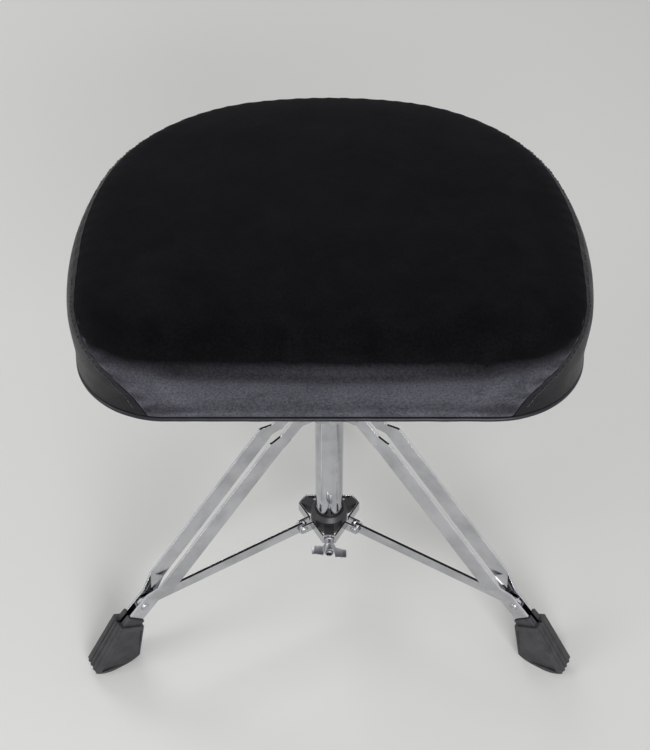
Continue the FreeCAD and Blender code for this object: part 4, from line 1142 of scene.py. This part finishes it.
    def hem(self) -> None:
        """The covers' lower edge, turned under the board in pleats."""
        low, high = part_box("cover_hem")
        start = self.belly + 3.0 * MM
        count = 720
        steps = self.hem_steps
        loops = [self.outline(start + self.hem_width * step / steps, count)
                 for step in range(steps + 1)]
        pitch = 1350 * MM / count
        rings = []
        for index in range(count):
            under, over = [], []
            for step, loop in enumerate(loops):
                point = loop[index]
                share = math.sin(math.pi * min(step / steps + 0.08, 1.0)) ** 0.5
                depth = self.gather(loops[0][index], index * pitch) * share
                fray = noise.noise(Vector((index / 16, 0.0, 9.0)))
                ragged = 0.0 if step < steps else 1.6 * MM * fray
                toward = (loops[0][index] - loops[-1][index]).normalized() * ragged
                under.append(Vector((*(point + toward), low[2] - 0.35 * MM - depth)))
                over.append(Vector((*(point + toward), high[2] - 0.05 * MM)))
            rings.append(under + over[::-1])
        mesh = bmesh.new()
        sweep_rings(mesh, rings, closed=True)
        piece("folded_hem", mesh, Finish.VINYL, "seat", ("cover_hem",))

    def dust_sheet(self) -> None:
        """Thin cloth stretched below the board, cut out round the bracket and sagging a
        little between its fixings."""
        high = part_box("dust_cover")[1]
        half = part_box("seat_bracket")[1].x + 3.5 * MM
        count = 240
        rim = self.outline(self.belly + self.hem_width - 4 * MM, count)
        sides = ((1, 0), (0, 1), (-1, 0), (0, -1))
        hole = [Vector((x - y * share, y + x * share)) * half for x, y in sides
                for share in (-0.999, -0.6, -0.2, 0.2, 0.6)]
        spots = rim + hole
        rings = [(index, (index + 1) % count) for index in range(count)]
        rings += [(count + index, count + (index + 1) % len(hole))
                  for index in range(len(hole))]
        inside = self.outline(self.belly + self.hem_width, count)
        pitch = self.sheet_pitch
        for row in range(-24, 40):
            for column in range(-36, 37):
                spot = Vector(((column + row % 2 / 2) * pitch, row * pitch * 0.866))
                if within(spot, inside) and max(abs(spot.x), abs(spot.y)) > half + 2 * MM:
                    spots.append(spot)
        points, _, faces, *_ = delaunay_2d_cdt(spots, rings, [list(range(count))], 1, 1e-7)
        mesh = bmesh.new()
        made = []
        for point in points:
            off = max(abs(point.x), abs(point.y)) - half
            edge = min((point - other).length for other in rim[::4])
            free = min(max(min(off, edge) / (45 * MM), 0.0), 1.0)
            ripple = noise.noise(Vector((point.x / (24 * MM), point.y / (70 * MM), 2.0)))
            drop = (0.9 + 0.9 * ripple) * MM * free + 0.45 * MM
            made.append(mesh.verts.new((*point, high[2] - drop)))
        area = 0.0
        for face in faces:
            middle = sum((points[index] for index in face), Vector((0, 0))) / len(face)
            if max(abs(middle.x), abs(middle.y)) > half:
                area += mesh.faces.new([made[index] for index in face]).calc_area()
        loose = [vertex for vertex in mesh.verts if not vertex.link_faces]
        bmesh.ops.delete(mesh, geom=loose, context="VERTS")
        bmesh.ops.solidify(mesh, geom=mesh.faces, thickness=0.35 * MM)
        cloth = piece("dust_sheet", mesh, Finish.DUST_CLOTH, "seat",
                      ("dust_cover",))

    def staples(self) -> None:
        """Wire staples that hold the hem on the board."""
        mesh = bmesh.new()
        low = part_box("cover_hem")[0][2]
        half = self.staple_width / 2
        count = int(1200 * MM / self.staple_pitch)
        loop = self.outline(self.belly + self.hem_width - 8 * MM, count)
        for index, point in enumerate(loop):
            along = (loop[(index + 1) % count] - loop[index - 1]).normalized()
            skew = 0.22 * math.sin(index * 2.4)
            along = Matrix.Rotation(skew, 2) @ along
            here = Vector((*point, low))
            side = Vector((*along, 0.0)) * half
            deep = Vector((0, 0, 0.9 * MM))
            crown = Vector((0, 0, -(1.0 * MM + self.gather(point, index))))
            tube_along(mesh, [here - side + deep, here - side * 0.97 + crown,
                              here + side * 0.97 + crown, here + side + deep],
                       self.staple_wire, closed=False, around=6)
        piece("hem_staples", mesh, Finish.ZINC, "seat")

    def build(self) -> None:
        """Make the cushion and its covers."""
        skin = self.form()
        level = [self.seam_level(vertex.co) for vertex in skin.data.vertices]
        self.inflate(skin, level)
        velour, vinyl = self.split(skin, level)
        bpy.data.objects.remove(skin)
        line = self.seam_line(velour)
        finder = KDTree(len(line))
        along = [0.0]
        for index, point in enumerate(line):
            finder.insert(point, index)
            if index:
                along.append(along[-1] + (point - line[index - 1]).length)
        finder.balance()
        for panel in (velour, vinyl):
            self.pucker_skin(panel, finder, along)
        tree = BVHTree.FromBMesh(vinyl)
        for name, panel, finish, slot, node in (
                ("velour_cover", velour, Finish.VELOUR, "velour", "velour_top"),
                ("vinyl_cover", vinyl, Finish.VINYL, "vinyl", "vinyl_band")):
            self.turn_in(panel)
            made = piece(name, panel, finish, "seat", (node,), smooth=75.0)
            shell = made.modifiers.new("shell", "SOLIDIFY")
            shell.thickness = self.cover
            shell.offset = -1.0
            apply_modifiers(made)
        self.stitches(line, tree)
        self.core()
        self.piping()
        self.hem()
        self.dust_sheet()
        self.staples()


def within(spot: Vector, loop: list[Vector]) -> bool:
    """Whether a point lies inside a closed loop in plan.

    Args:
        spot: The point.
        loop: The loop's corners.

    Returns:
        True inside the loop.
    """
    inside = False
    for first, second in zip(loop, loop[1:] + loop[:1]):
        if (first.y > spot.y) != (second.y > spot.y):
            cross = first.x + (spot.y - first.y) / (second.y - first.y) * (second.x - first.x)
            if spot.x < cross:
                inside = not inside
    return inside


def smooth_max(first: float, second: float, width: float) -> float:
    """The larger of two values, rounded where they cross.

    Args:
        first: One value.
        second: The other value.
        width: How far from the crossing the rounding starts.

    Returns:
        The rounded maximum.
    """
    share = min(max(0.5 + 0.5 * (first - second) / width, 0.0), 1.0)
    return second + (first - second) * share + width * share * (1 - share)


# ------------------------------------------------------------------ tripod

@dataclass
class Foot:
    """Rubber foot: a wedge with an arched sole, framed sides, a grooved back and a neck."""

    pivot: tuple = (222.0 * MM, 76.5 * MM)
    slope: float = 45.153
    upper_inner: tuple = (23.0 * MM, -14.4 * MM)
    upper_outer: tuple = (29.5 * MM, 12.5 * MM)
    heel: float = 16.0 * MM
    lowest: float = 38.5 * MM
    toe: float = 65.8 * MM
    land: float = 10.0 * MM
    sole_radius: float = 31.0 * MM
    narrow: float = 10.0 * MM
    wide: float = 12.5 * MM
    taper_start: float = 222.8 * MM
    taper_end: float = 287.8 * MM
    edge: float = 1.3 * MM
    frame_width: float = 5.4 * MM
    frame_depth: float = 2.0 * MM
    groove_depth: float = 1.3 * MM
    groove_half: float = 0.09
    grooves: tuple = (-0.52, -0.1, 0.42)
    neck_low: float = 17.5 * MM
    neck_half: float = 7.7 * MM
    neck_over: float = 9.1 * MM
    neck_under: float = 12.1 * MM
    wall: float = 1.6 * MM
    slot_half: float = 2.0 * MM
    slot_reach: float = 30.5 * MM

    def spot(self, along: float, over: float) -> Vector:
        """Place in the leg's plane of a point measured from the foot rivet.

        Args:
            along: Distance down the leg.
            over: Distance out of the leg.

        Returns:
            Distance from the column, and height.
        """
        slope = math.radians(self.slope)
        return Vector((self.pivot[0] + along * math.cos(slope) + over * math.sin(slope),
                       self.pivot[1] - along * math.sin(slope) + over * math.cos(slope)))

    def side_view(self) -> tuple[list[Vector], list[float]]:
        """Outline of the wedge in the leg's plane.

        Returns:
            Its corners, and how wide the raised frame is on each edge.
        """
        middle = self.pivot[0] + self.lowest
        points = [self.spot(*self.upper_inner)]
        widths = [self.edge * 1.6]
        for way, reach in ((-1, self.lowest - self.heel), (1, self.toe - self.lowest)):
            arc = []
            span = reach - self.land / 2
            for step in range(9):
                run = span * step / 8
                height = self.sole_radius - math.sqrt(self.sole_radius ** 2 - run ** 2)
                arc.append(Vector((middle + way * (self.land / 2 + run), height)))
            points += arc[::way]
            widths += [self.edge * 1.6] * len(arc)
        widths[-1] = self.frame_width
        points.append(self.spot(*self.upper_outer))
        widths.append(self.frame_width)
        return points, widths

    def half_width(self, place: float) -> float:
        """Half the wedge's width.

        Args:
            place: Distance from the column.

        Returns:
            The half width there.
        """
        share = (place - self.taper_start) / (self.taper_end - self.taper_start)
        return self.narrow + (self.wide - self.narrow) * share

    def wedge(self, mesh: bmesh.types.BMesh) -> None:
        """Loft the wedge across its width.

        Args:
            mesh: The mesh that takes the faces.
        """
        points, widths = self.side_view()
        back = len(points) - 2
        normal = (points[-1] - points[-2]).orthogonal().normalized()
        rounding = ((1.0, 1.0), (0.985, 0.45), (0.955, 0.12), (0.91, 0.0))
        groove = ((-1.7, 0.0), (-1.0, 1.0), (1.0, 1.0), (1.7, 0.0))
        rows = [(-share, self.edge * inset, 0.0) for share, inset in rounding]
        rows += [(centre + self.groove_half * step, 0.0, self.groove_depth * dip)
                 for centre in self.grooves for step, dip in groove]
        rows += [(share, self.edge * inset, 0.0) for share, inset in reversed(rounding)]
        panel, floor = inset_loop(points, widths), self.sunk(points, widths)
        rings, last = ([[self.lift(corner, way, self.frame_depth * share)
                         for corner, share in floor],
                        [self.lift(corner, way, 0.0) for corner in panel]]
                       for way in (-1, 1))
        for share, inset, dip in rows:
            loop = inset_loop(points, [inset] * len(points)) if inset else list(points)
            if dip:
                loop[back] = loop[back] - normal * dip
                loop[back + 1] = loop[back + 1] - normal * dip
            rings.append([Vector((point.x, share * self.half_width(point.x), point.y))
                          for point in loop])
        sweep_rings(mesh, rings + last[::-1], closed=False)

    def sunk(self, points: list[Vector], widths: list[float]) -> list[tuple[Vector, float]]:
        """Corners of the sunken panel.

        Args:
            points: The wedge's outline.
            widths: The frame's width on each edge.

        Returns:
            Each corner, and the share of the full depth there.
        """
        inner = inset_loop(points, [width * 1.18 for width in widths])
        before = widths[-1:] + widths[:-1]
        return [(corner, 1.0 if max(pair) >= self.frame_width else 0.0)
                for corner, *pair in zip(inner, widths, before)]

    def lift(self, point: Vector, way: int, sink: float) -> Vector:
        """Place of a side panel's corner.

        Args:
            point: The corner in the leg's plane.
            way: 1 for the +Y side, -1 for the other.
            sink: How deep it lies below the side.

        Returns:
            The place in the leg's frame.
        """
        return Vector((point.x, way * (self.half_width(point.x) - sink), point.y))

    def block(self, along: tuple, over: tuple, half: float, bevel: float = 0.0) \
            -> bmesh.types.BMesh:
        """A box laid along the leg, with rounded edges if a bevel is given.

        Args:
            along: Where it starts and ends along the leg, from the foot rivet.
            over: Where it starts and ends across the leg, in the leg's plane.
            half: Half its width.
            bevel: Width of the rounding.

        Returns:
            The closed box.
        """
        mesh = bmesh.new()
        corners = [self.spot(x, z) for x, z in
                   ((along[0], over[0]), (along[1], over[0]),
                    (along[1], over[1]), (along[0], over[1]))]
        rings = [[Vector((corner.x, side * half, corner.y)) for corner in corners]
                 for side in (-1, 1)]
        sweep_rings(mesh, rings, closed=False)
        bmesh.ops.recalc_face_normals(mesh, faces=mesh.faces)
        if bevel:
            bmesh.ops.bevel(mesh, geom=list(mesh.edges), offset=bevel, segments=3,
                            profile=0.5, affect="EDGES")
        return mesh

    def build(self, name: str, azimuth: float) -> None:
        """Make one foot.

        Args:
            name: The leg's name.
            azimuth: The leg's direction in degrees.
        """
        body = bmesh.new()
        self.wedge(body)
        bmesh.ops.recalc_face_normals(body, faces=body.faces)
        under, over = -self.neck_under, self.neck_over
        neck = self.block((self.neck_low, self.neck_low + 17 * MM), (under, over),
                          self.neck_half, bevel=0.8 * MM)
        pocket = self.block((0.0, 42 * MM), (under + self.wall, over - self.wall),
                            self.neck_half - self.wall)
        slot = self.block((self.neck_low - 5 * MM, self.slot_reach), (0.0, over * 3),
                          self.slot_half)
        made = boolean(body, [(neck, "UNION"), (pocket, "DIFFERENCE"),
                              (slot, "DIFFERENCE")])
        made.transform(leg_frame(azimuth))
        piece(f"{name}_rubber_foot", made, Finish.RUBBER, f"leg_{name}",
              (f"{name}_foot",), smooth=35.0)


def inset_loop(points: list[Vector], widths: list[float]) -> list[Vector]:
    """Move each edge of a closed outline inward.

    Args:
        points: The outline in plan, counter-clockwise.
        widths: How far the edge from each point to the next one moves.

    Returns:
        The new corners.
    """
    count = len(points)
    edges = []
    for index in range(count):
        along = (points[(index + 1) % count] - points[index]).normalized()
        shift = Vector((-along.y, along.x)) * widths[index]
        edges.append((points[index] + shift, along))
    corners = []
    for index in range(count):
        (first, way), (second, other) = edges[index - 1], edges[index]
        cross = way.x * other.y - way.y * other.x
        if abs(cross) < 0.02:
            corners.append(second.copy())
            continue
        gap = second - first
        corners.append(first + way * ((gap.x * other.y - gap.y * other.x) / cross))
    return corners


def boolean(body: bmesh.types.BMesh,
            tools: list[tuple[bmesh.types.BMesh, str]]) -> bmesh.types.BMesh:
    """Join closed meshes to a body or cut them from it.

    Args:
        body: The closed mesh to change. It is freed.
        tools: Closed meshes, which are freed, each with UNION or DIFFERENCE.

    Returns:
        The result.
    """
    made = []
    for mesh in [body] + [tool for tool, _ in tools]:
        bmesh.ops.recalc_face_normals(mesh, faces=mesh.faces)
        data = bpy.data.meshes.new("boolean_input")
        mesh.to_mesh(data)
        mesh.free()
        made.append(bpy.data.objects.new("boolean_input", data))
        bpy.context.collection.objects.link(made[-1])
    for tool, (_, operation) in zip(made[1:], tools):
        step = made[0].modifiers.new(operation, "BOOLEAN")
        step.operation = operation
        step.solver = "EXACT"
        step.object = tool
    bpy.context.view_layer.update()
    apply_modifiers(made[0])
    result = bmesh.new()
    result.from_mesh(made[0].data)
    for item in made:
        bpy.data.objects.remove(item)
    return result


@dataclass
class DomedRivets:
    """Rivets with round formed heads at the tripod's pivots."""

    dome_steps: int = 7

    def build(self, frame: dict) -> None:
        """Make every rivet from the place and length of its solid.
        """
        for name, azimuth in LEGS.items():
            self.rivet(frame, f"{name}_hub_rivet", azimuth, "base", 3.0 * MM, 4.4 * MM)
            self.rivet(frame, f"{name}_collar_rivet", azimuth, "collar", 2.5 * MM, 4.2 * MM)
            self.rivet(frame, f"{name}_foot_rivets", azimuth, f"leg_{name}", 2.5 * MM,
                       4.2 * MM, split=True)

    def rivet(self, frame: dict, node: str, azimuth: float, body: str, shank: float,
              head: float, split: bool = False) -> None:
        """Make one node's rivet, or its two stubs.

        Args:
            node: The rivet's node.
            azimuth: Direction of its leg in degrees.
            body: The body that it rides on.
            shank: Shank radius.
            head: Head radius.
            split: Whether the node holds a stub on each side of the leg's plane.
        """
        out = leg_frame(azimuth)
        points = [out.inverted() @ vertex.co for vertex in frame["nodes"][node].data.vertices]
        mesh = bmesh.new()
        sides = (-1, 1) if split else (0,)
        for side in sides:
            part = [point for point in points if point.y * side > 0] if side else points
            low = Vector([min(point[axis] for point in part) for axis in range(3)])
            high = Vector([max(point[axis] for point in part) for axis in range(3)])
            middle = (low + high) / 2
            middle.y = 0
            place = out @ Matrix.Translation(middle) @ Matrix.Rotation(-math.pi / 2, 4, "X")
            inner = low.y if side >= 0 else -high.y
            outer = high.y if side >= 0 else -low.y
            if side < 0:
                place = place @ Matrix.Rotation(math.pi, 4, "X")
            lathe(mesh, self.profile(inner, outer, shank, head, both=not side), place, 28)
        piece(f"{node}_domed", mesh, Finish.ZINC, body, (node,))

    def profile(self, low: float, high: float, shank: float, head: float,
                both: bool) -> list[tuple[float, float]]:
        """Closed outline of a rivet: a dome on one end or on both.

        Args:
            low: Height of its lower end.
            high: Height of its upper end.
            shank: Shank radius.
            head: Head radius.
            both: Whether the lower end has a dome too.

        Returns:
            Radius and height of each corner.
        """
        dome = 2.1 * MM
        upper = [(shank, high - dome), (head, high - dome)]
        for step in range(1, self.dome_steps + 1):
            turn = math.pi / 2 * step / self.dome_steps
            upper.append((max(head * math.cos(turn), AXIS_GAP),
                          high - dome + dome * (0.12 + 0.88 * math.sin(turn))))
        if both:
            middle = (low + high) / 2
            lower = [(radius, 2 * middle - height) for radius, height in reversed(upper)]
        else:
            lower = [(AXIS_GAP, low), (shank, low)]
        return lower + upper


@dataclass
class WingBolt:
    """Stamped wings with rolled roots on a turned barrel."""

    start: float = 40.5 * MM
    height: float = 82.0 * MM
    length: float = 16.5 * MM
    stem: float = 5.6 * MM
    span: float = 18.5 * MM
    sheet: float = 1.7 * MM
    barrel: float = 4.9 * MM
    bore: float = 3.0 * MM
    notch: float = 5.0 * MM
    notch_half: float = 6.4 * MM
    curl: float = 0.9 * MM
    tilt: float = 12.0

    def place(self) -> Matrix:
        """Frame of the bolt: +Z out along its axis, +X along the wings."""
        return (Matrix.Translation((0, -self.start, self.height))
                @ Matrix.Rotation(math.radians(self.tilt), 4, "Y")
                @ Matrix.Rotation(math.pi / 2, 4, "X"))

    def reach(self, across: float) -> tuple[float, float]:
        """Where the sheet starts and ends along the bolt.

        Args:
            across: Distance from the axis along the wings.

        Returns:
            Its start and its end along the axis.
        """
        far = abs(across) / self.span
        near_end = self.length * (0.12 + 0.2 * far)
        notch = self.notch * max(0.0, 1 - (across / self.notch_half) ** 2)
        return near_end, self.length * (1.0 - 0.06 * far) - notch

    def build(self) -> None:
        """Make the wings."""
        mesh = bmesh.new()
        count = 45
        rings = []
        for step in range(count):
            across = self.span * (2 * step / (count - 1) - 1)
            inside = max(0.0, 1 - (across / (6.6 * MM)) ** 2)
            middle = (self.barrel + self.sheet * 0.35) * math.sqrt(inside)
            blend = min(1.0, inside * 6)
            curl = self.curl * max(0.0, abs(across) / self.span - 0.82) / 0.18
            height = middle * blend + curl * (1 if across > 0 else -1)
            end = 1 - 0.35 * max(0.0, abs(across) / self.span - 0.9) / 0.1
            near_end, far_end = self.reach(across)
            mid = (near_end + far_end) / 2
            half = (far_end - near_end) / 2 * (0.82 + 0.18 * end)
            ring = []
            for turn in range(16):
                angle = math.tau * turn / 16
                along = math.copysign(abs(math.cos(angle)) ** 0.35, math.cos(angle))
                over = math.copysign(abs(math.sin(angle)) ** 0.8, math.sin(angle))
                ring.append(Vector((across, height + over * self.sheet / 2 * end,
                                    mid + along * half)))
            rings.append(ring)
        sweep_rings(mesh, rings, closed=False)
        bmesh.ops.transform(mesh, matrix=self.place(), verts=mesh.verts)
        start, end = -self.stem, self.length - 4.4 * MM
        flange = self.barrel + 0.6 * MM
        lathe(mesh, [(self.bore, start), (self.barrel, start), (flange, start + 0.5 * MM),
                     (flange, start + 1.5 * MM), (self.barrel, start + 2.1 * MM),
                     (self.barrel - 0.5 * MM, end), (self.barrel - 1.2 * MM, end + 0.9 * MM),
                     (self.bore, end + 1.1 * MM)], self.place(), 40)
        piece("wing_bolt_wings", mesh, Finish.CAST_ZINC, "wing_bolt",
              ("wing_bolt_head",))


@dataclass
class Spindle:
    """Steel spindle with a rolled trapezoidal thread, its lock ring and lever."""

    pitch: float = 3.0 * MM
    depth: float = 1.1 * MM
    around: int = 40
    rows_per_turn: int = 6
    knurls: int = 54
    knurl_depth: float = 0.45 * MM
    journal: float = 8.0 * MM
    ring_radius: float = 20.0 * MM
    ring_bore: float = 11.15 * MM
    ring_chamfer: float = 0.9 * MM
    lever_azimuth: float = 35.0
    rod_start: float = 19.6 * MM
    rod_end: float = 53.8 * MM
    rod_radius: float = 2.3 * MM
    ribs: int = 9
    rib_pitch: float = 2.3 * MM

    def thread(self) -> None:
        """Sweep the thread's section up the spindle, turning as it climbs."""
        low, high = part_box("spindle")
        radius = high[0] - 0.05 * MM
        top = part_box("thrust_washer")[0][2]
        journal = self.journal
        thread_end = top - 2 * MM
        heights = []
        height = low[2]
        while height < thread_end:
            heights.append(height)
            height += self.pitch / self.rows_per_turn
        rings = []
        for height in heights:
            ends = min((height - low[2]) / self.pitch, (thread_end - height) / self.pitch, 1)
            ring = []
            for step in range(self.around):
                share = (height / self.pitch - step / self.around) % 1.0
                tooth = min(max(abs(share - 0.5) * 4 - 0.5, 0.0), 1.0)
                size = radius - self.depth * (1 - tooth * max(ends, 0.0))
                turn = math.tau * step / self.around
                ring.append(Vector((size * math.cos(turn), size * math.sin(turn), height)))
            rings.append(ring)
        for size, height in ((radius - self.depth, top - 1.4 * MM), (radius, top - 1.2 * MM),
                             (radius, top - 0.05 * MM), (journal, top - 0.05 * MM),
                             (journal, high[2] - 0.6 * MM), (journal - 0.6 * MM, high[2])):
            rings.append(circle(size, height, self.around))
        mesh = bmesh.new()
        sweep_rings(mesh, rings, closed=False)
        piece("threaded_spindle", mesh, Finish.ZINC, "spindle", ("spindle",))

    def ring(self) -> None:
        """The lock ring with a straight knurl and chamfered faces."""
        low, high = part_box("lock_ring")
        outer, bore, chamfer = self.ring_radius, self.ring_bore, self.ring_chamfer
        profile = [(bore, low[2]), (outer - 3 * MM, low[2]), (outer - chamfer, low[2]),
                   (outer, low[2] + chamfer), (outer, high[2] - chamfer),
                   (outer - chamfer, high[2]), (outer - 3 * MM, high[2]), (bore, high[2])]
        count = self.knurls * 4
        rings = []
        for step in range(count):
            turn = math.tau * step / count
            dip = self.knurl_depth * (1.0, 0.35, 0.0, 0.35)[step % 4]
            sizes = [radius - dip * (radius > outer - 2 * MM) for radius, _ in profile]
            rings.append([Vector((size * math.cos(turn), size * math.sin(turn), height))
                          for size, (_, height) in zip(sizes, profile)])
        mesh = bmesh.new()
        sweep_rings(mesh, rings, closed=True)
        piece("knurled_ring", mesh, Finish.ZINC, "lock_ring", ("lock_ring",))

    def lever(self) -> None:
        """The lever: a steel rod with a ribbed plastic sleeve."""
        low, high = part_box("lock_ring")
        rod, sleeve = bmesh.new(), bmesh.new()
        place = (Matrix.Translation((0, 0, (low[2] + high[2]) / 2))
                 @ Matrix.Rotation(math.radians(self.lever_azimuth), 4, "Z")
                 @ Matrix.Rotation(math.pi / 2, 4, "Y"))
        start, end, radius = self.rod_start, self.rod_end, self.rod_radius
        lathe(rod, [(AXIS_GAP, start), (radius, start), (radius, end - 1.0 * MM),
                    (radius - 0.6 * MM, end - 0.2 * MM), (AXIS_GAP, end)], place, 24)
        grip = [(2.35 * MM, 30 * MM), (2.7 * MM, 29.6 * MM)]
        for step in range(self.ribs):
            start = 30.6 * MM + step * self.rib_pitch
            grip += [(3.0 * MM, start), (3.0 * MM, start + 1.5 * MM),
                     (2.75 * MM, start + 1.8 * MM), (2.75 * MM, start + 2.1 * MM)]
        grip += [(2.9 * MM, 51.6 * MM), (2.7 * MM, 52.2 * MM), (2.35 * MM, 52.4 * MM)]
        lathe(sleeve, grip, place, 32)
        piece("lever_rod", rod, Finish.ZINC, "lock_ring", ("lock_lever",))
        piece("lever_sleeve", sleeve, Finish.PLUG, "lock_ring")

    def build(self) -> None:
        """Make the spindle's pieces."""
        self.thread()
        self.ring()
        self.lever()


def soften_edges(frame: dict, width: float) -> None:
    """Round the sharp edges of the sheet-metal nodes, as tumbling and plating do.

    Args:
        width: The bevel's width.
    """
    for entry in frame["record"]["subparts"]:
        if entry["material_slot"] in ("chrome_plate", "black_nylon"):
            node = frame["nodes"][entry["node"]]
            bevel = node.modifiers.new("soft_edges", "BEVEL")
            bevel.width = width
            bevel.segments = 2
            bevel.limit_method = "ANGLE"
            bevel.angle_limit = math.radians(35)


# ------------------------------------------------------------------ mesh steps

def resample(dense: list[Vector], count: int, closed: bool = True) -> list[Vector]:
    """Points at equal steps along a line.

    Args:
        dense: The line's points.
        count: How many points to return.
        closed: Whether the line is a loop.

    Returns:
        The new points, starting at the line's first point.
    """
    loop = dense + dense[:1] if closed else dense
    lengths = [0.0]
    for first, second in zip(loop, loop[1:]):
        lengths.append(lengths[-1] + (second - first).length)
    steps = count if closed else count - 1
    points, index = [], 0
    for step in range(count):
        target = lengths[-1] * step / steps
        while index < len(lengths) - 2 and lengths[index + 1] < target:
            index += 1
        span = lengths[index + 1] - lengths[index]
        share = (target - lengths[index]) / span if span else 0.0
        points.append(loop[index].lerp(loop[index + 1], min(share, 1.0)))
    return points


def apply_modifiers(made: bpy.types.Object) -> None:
    """Replace an object's mesh by what its modifiers make of it.

    Args:
        made: The object.
    """
    graph = bpy.context.evaluated_depsgraph_get()
    data = bpy.data.meshes.new_from_object(made.evaluated_get(graph), depsgraph=graph)
    made.modifiers.clear()
    made.data = data


# ------------------------------------------------------------------ studio

@dataclass
class Studio:
    """Pale floor and backdrop, soft lights and the camera."""

    floor_half: float = 6.0
    floor_colour: str = "E9E9E7"
    lens_mm: float = 57.77
    camera_place: tuple = (-0.0044, -0.823, 1.1205)
    camera_pitch: float = 45.0

    def build(self) -> None:
        """Make the studio."""
        self.floor()
        self.lights()
        self.camera()
        bpy.context.scene.view_settings.view_transform = "Standard"

    def floor(self) -> None:
        """Pale floor that looks white to the camera and to reflections."""
        mesh = bmesh.new()
        bmesh.ops.create_grid(mesh, x_segments=2, y_segments=2, size=self.floor_half)
        data = bpy.data.meshes.new("studio_floor")
        mesh.to_mesh(data)
        mesh.free()
        made = bpy.data.objects.new("studio_floor", data)
        bpy.context.collection.objects.link(made)
        material, *_ = start_material("painted_studio_floor", Roughness=0.9,
                                      Base_Color=linear(self.floor_colour))
        data.materials.append(material)

    def lights(self) -> None:
        """A large front box, two side strips and a soft world."""
        boxes = (("key", (0.55, -2.4, 1.3), (1.5, 1.0), 46.0),
                 ("fill", (-2.3, -0.9, 1.5), (0.9, 1.6), 15.0),
                 ("rim", (-1.2, 2.4, 2.2), (1.5, 0.8), 18.0))
        for name, place, size, power in boxes:
            lamp = bpy.data.lights.new(name, "AREA")
            lamp.shape = "RECTANGLE"
            lamp.size, lamp.size_y = size
            lamp.energy = power
            made = bpy.data.objects.new(name, lamp)
            made.location = place
            aim = Vector((0, 0.03, 0.28)) - Vector(place)
            made.rotation_euler = aim.to_track_quat("-Z", "Y").to_euler()
            bpy.context.collection.objects.link(made)
        world = bpy.data.worlds.new("studio_world")
        bpy.context.scene.world = world
        world.use_nodes = True
        tree = world.node_tree
        backdrop = tree.nodes["Background"]
        backdrop.inputs["Color"].default_value = linear("EDEDED")
        ray = add_node(tree, "ShaderNodeLightPath")
        seen = ray.outputs["Is Camera Ray"]
        for kind in ("Is Glossy Ray", "Is Transmission Ray"):
            seen = add_node(tree, "ShaderNodeMath", {0: seen, 1: ray.outputs[kind]},
                            operation="MAXIMUM").outputs["Value"]
        strength = add_node(tree, "ShaderNodeMapRange", {"Value": seen},
                            To_Min=0.45, To_Max=1.0)
        tree.links.new(strength.outputs["Result"], backdrop.inputs["Strength"])

    def camera(self) -> None:
        """The camera, level across and pitched down."""
        lens = bpy.data.cameras.new("camera")
        lens.lens = self.lens_mm
        lens.clip_start = 0.02
        made = bpy.data.objects.new("camera", lens)
        made.location = self.camera_place
        made.rotation_euler = (math.radians(90 - self.camera_pitch), 0, 0)
        bpy.context.collection.objects.link(made)
        bpy.context.scene.camera = made


def main() -> None:
    """Build the throne."""
    logging.basicConfig(level=logging.INFO)
    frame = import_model()
    Studio().build()
    slots = {"chrome_tube": Finish.CHROME, "chrome_plate": Finish.CHROME,
             "plated_steel": Finish.ZINC, "cast_zinc": Finish.CAST_ZINC,
             "black_plastic": Finish.PLUG, "black_nylon": Finish.NYLON,
             "rubber": Finish.RUBBER, "painted_steel": Finish.COAT,
             "plywood": Finish.PLYWOOD, "foam": Finish.FOAM,
             "velour": Finish.VELOUR, "vinyl": Finish.VINYL,
             "vinyl_piping": Finish.PIPING, "dust_cloth": Finish.DUST_CLOTH}
    for entry in frame["record"]["subparts"]:
        dress([entry["node"]], slots[entry["material_slot"]], frame)
    soften_edges(frame, 0.45 * MM)
    Seat().build()
    for name, azimuth in LEGS.items():
        Foot().build(name, azimuth)
    DomedRivets().build(frame)
    WingBolt().build()
    Spindle().build()


if __name__ == "__main__":
    main()
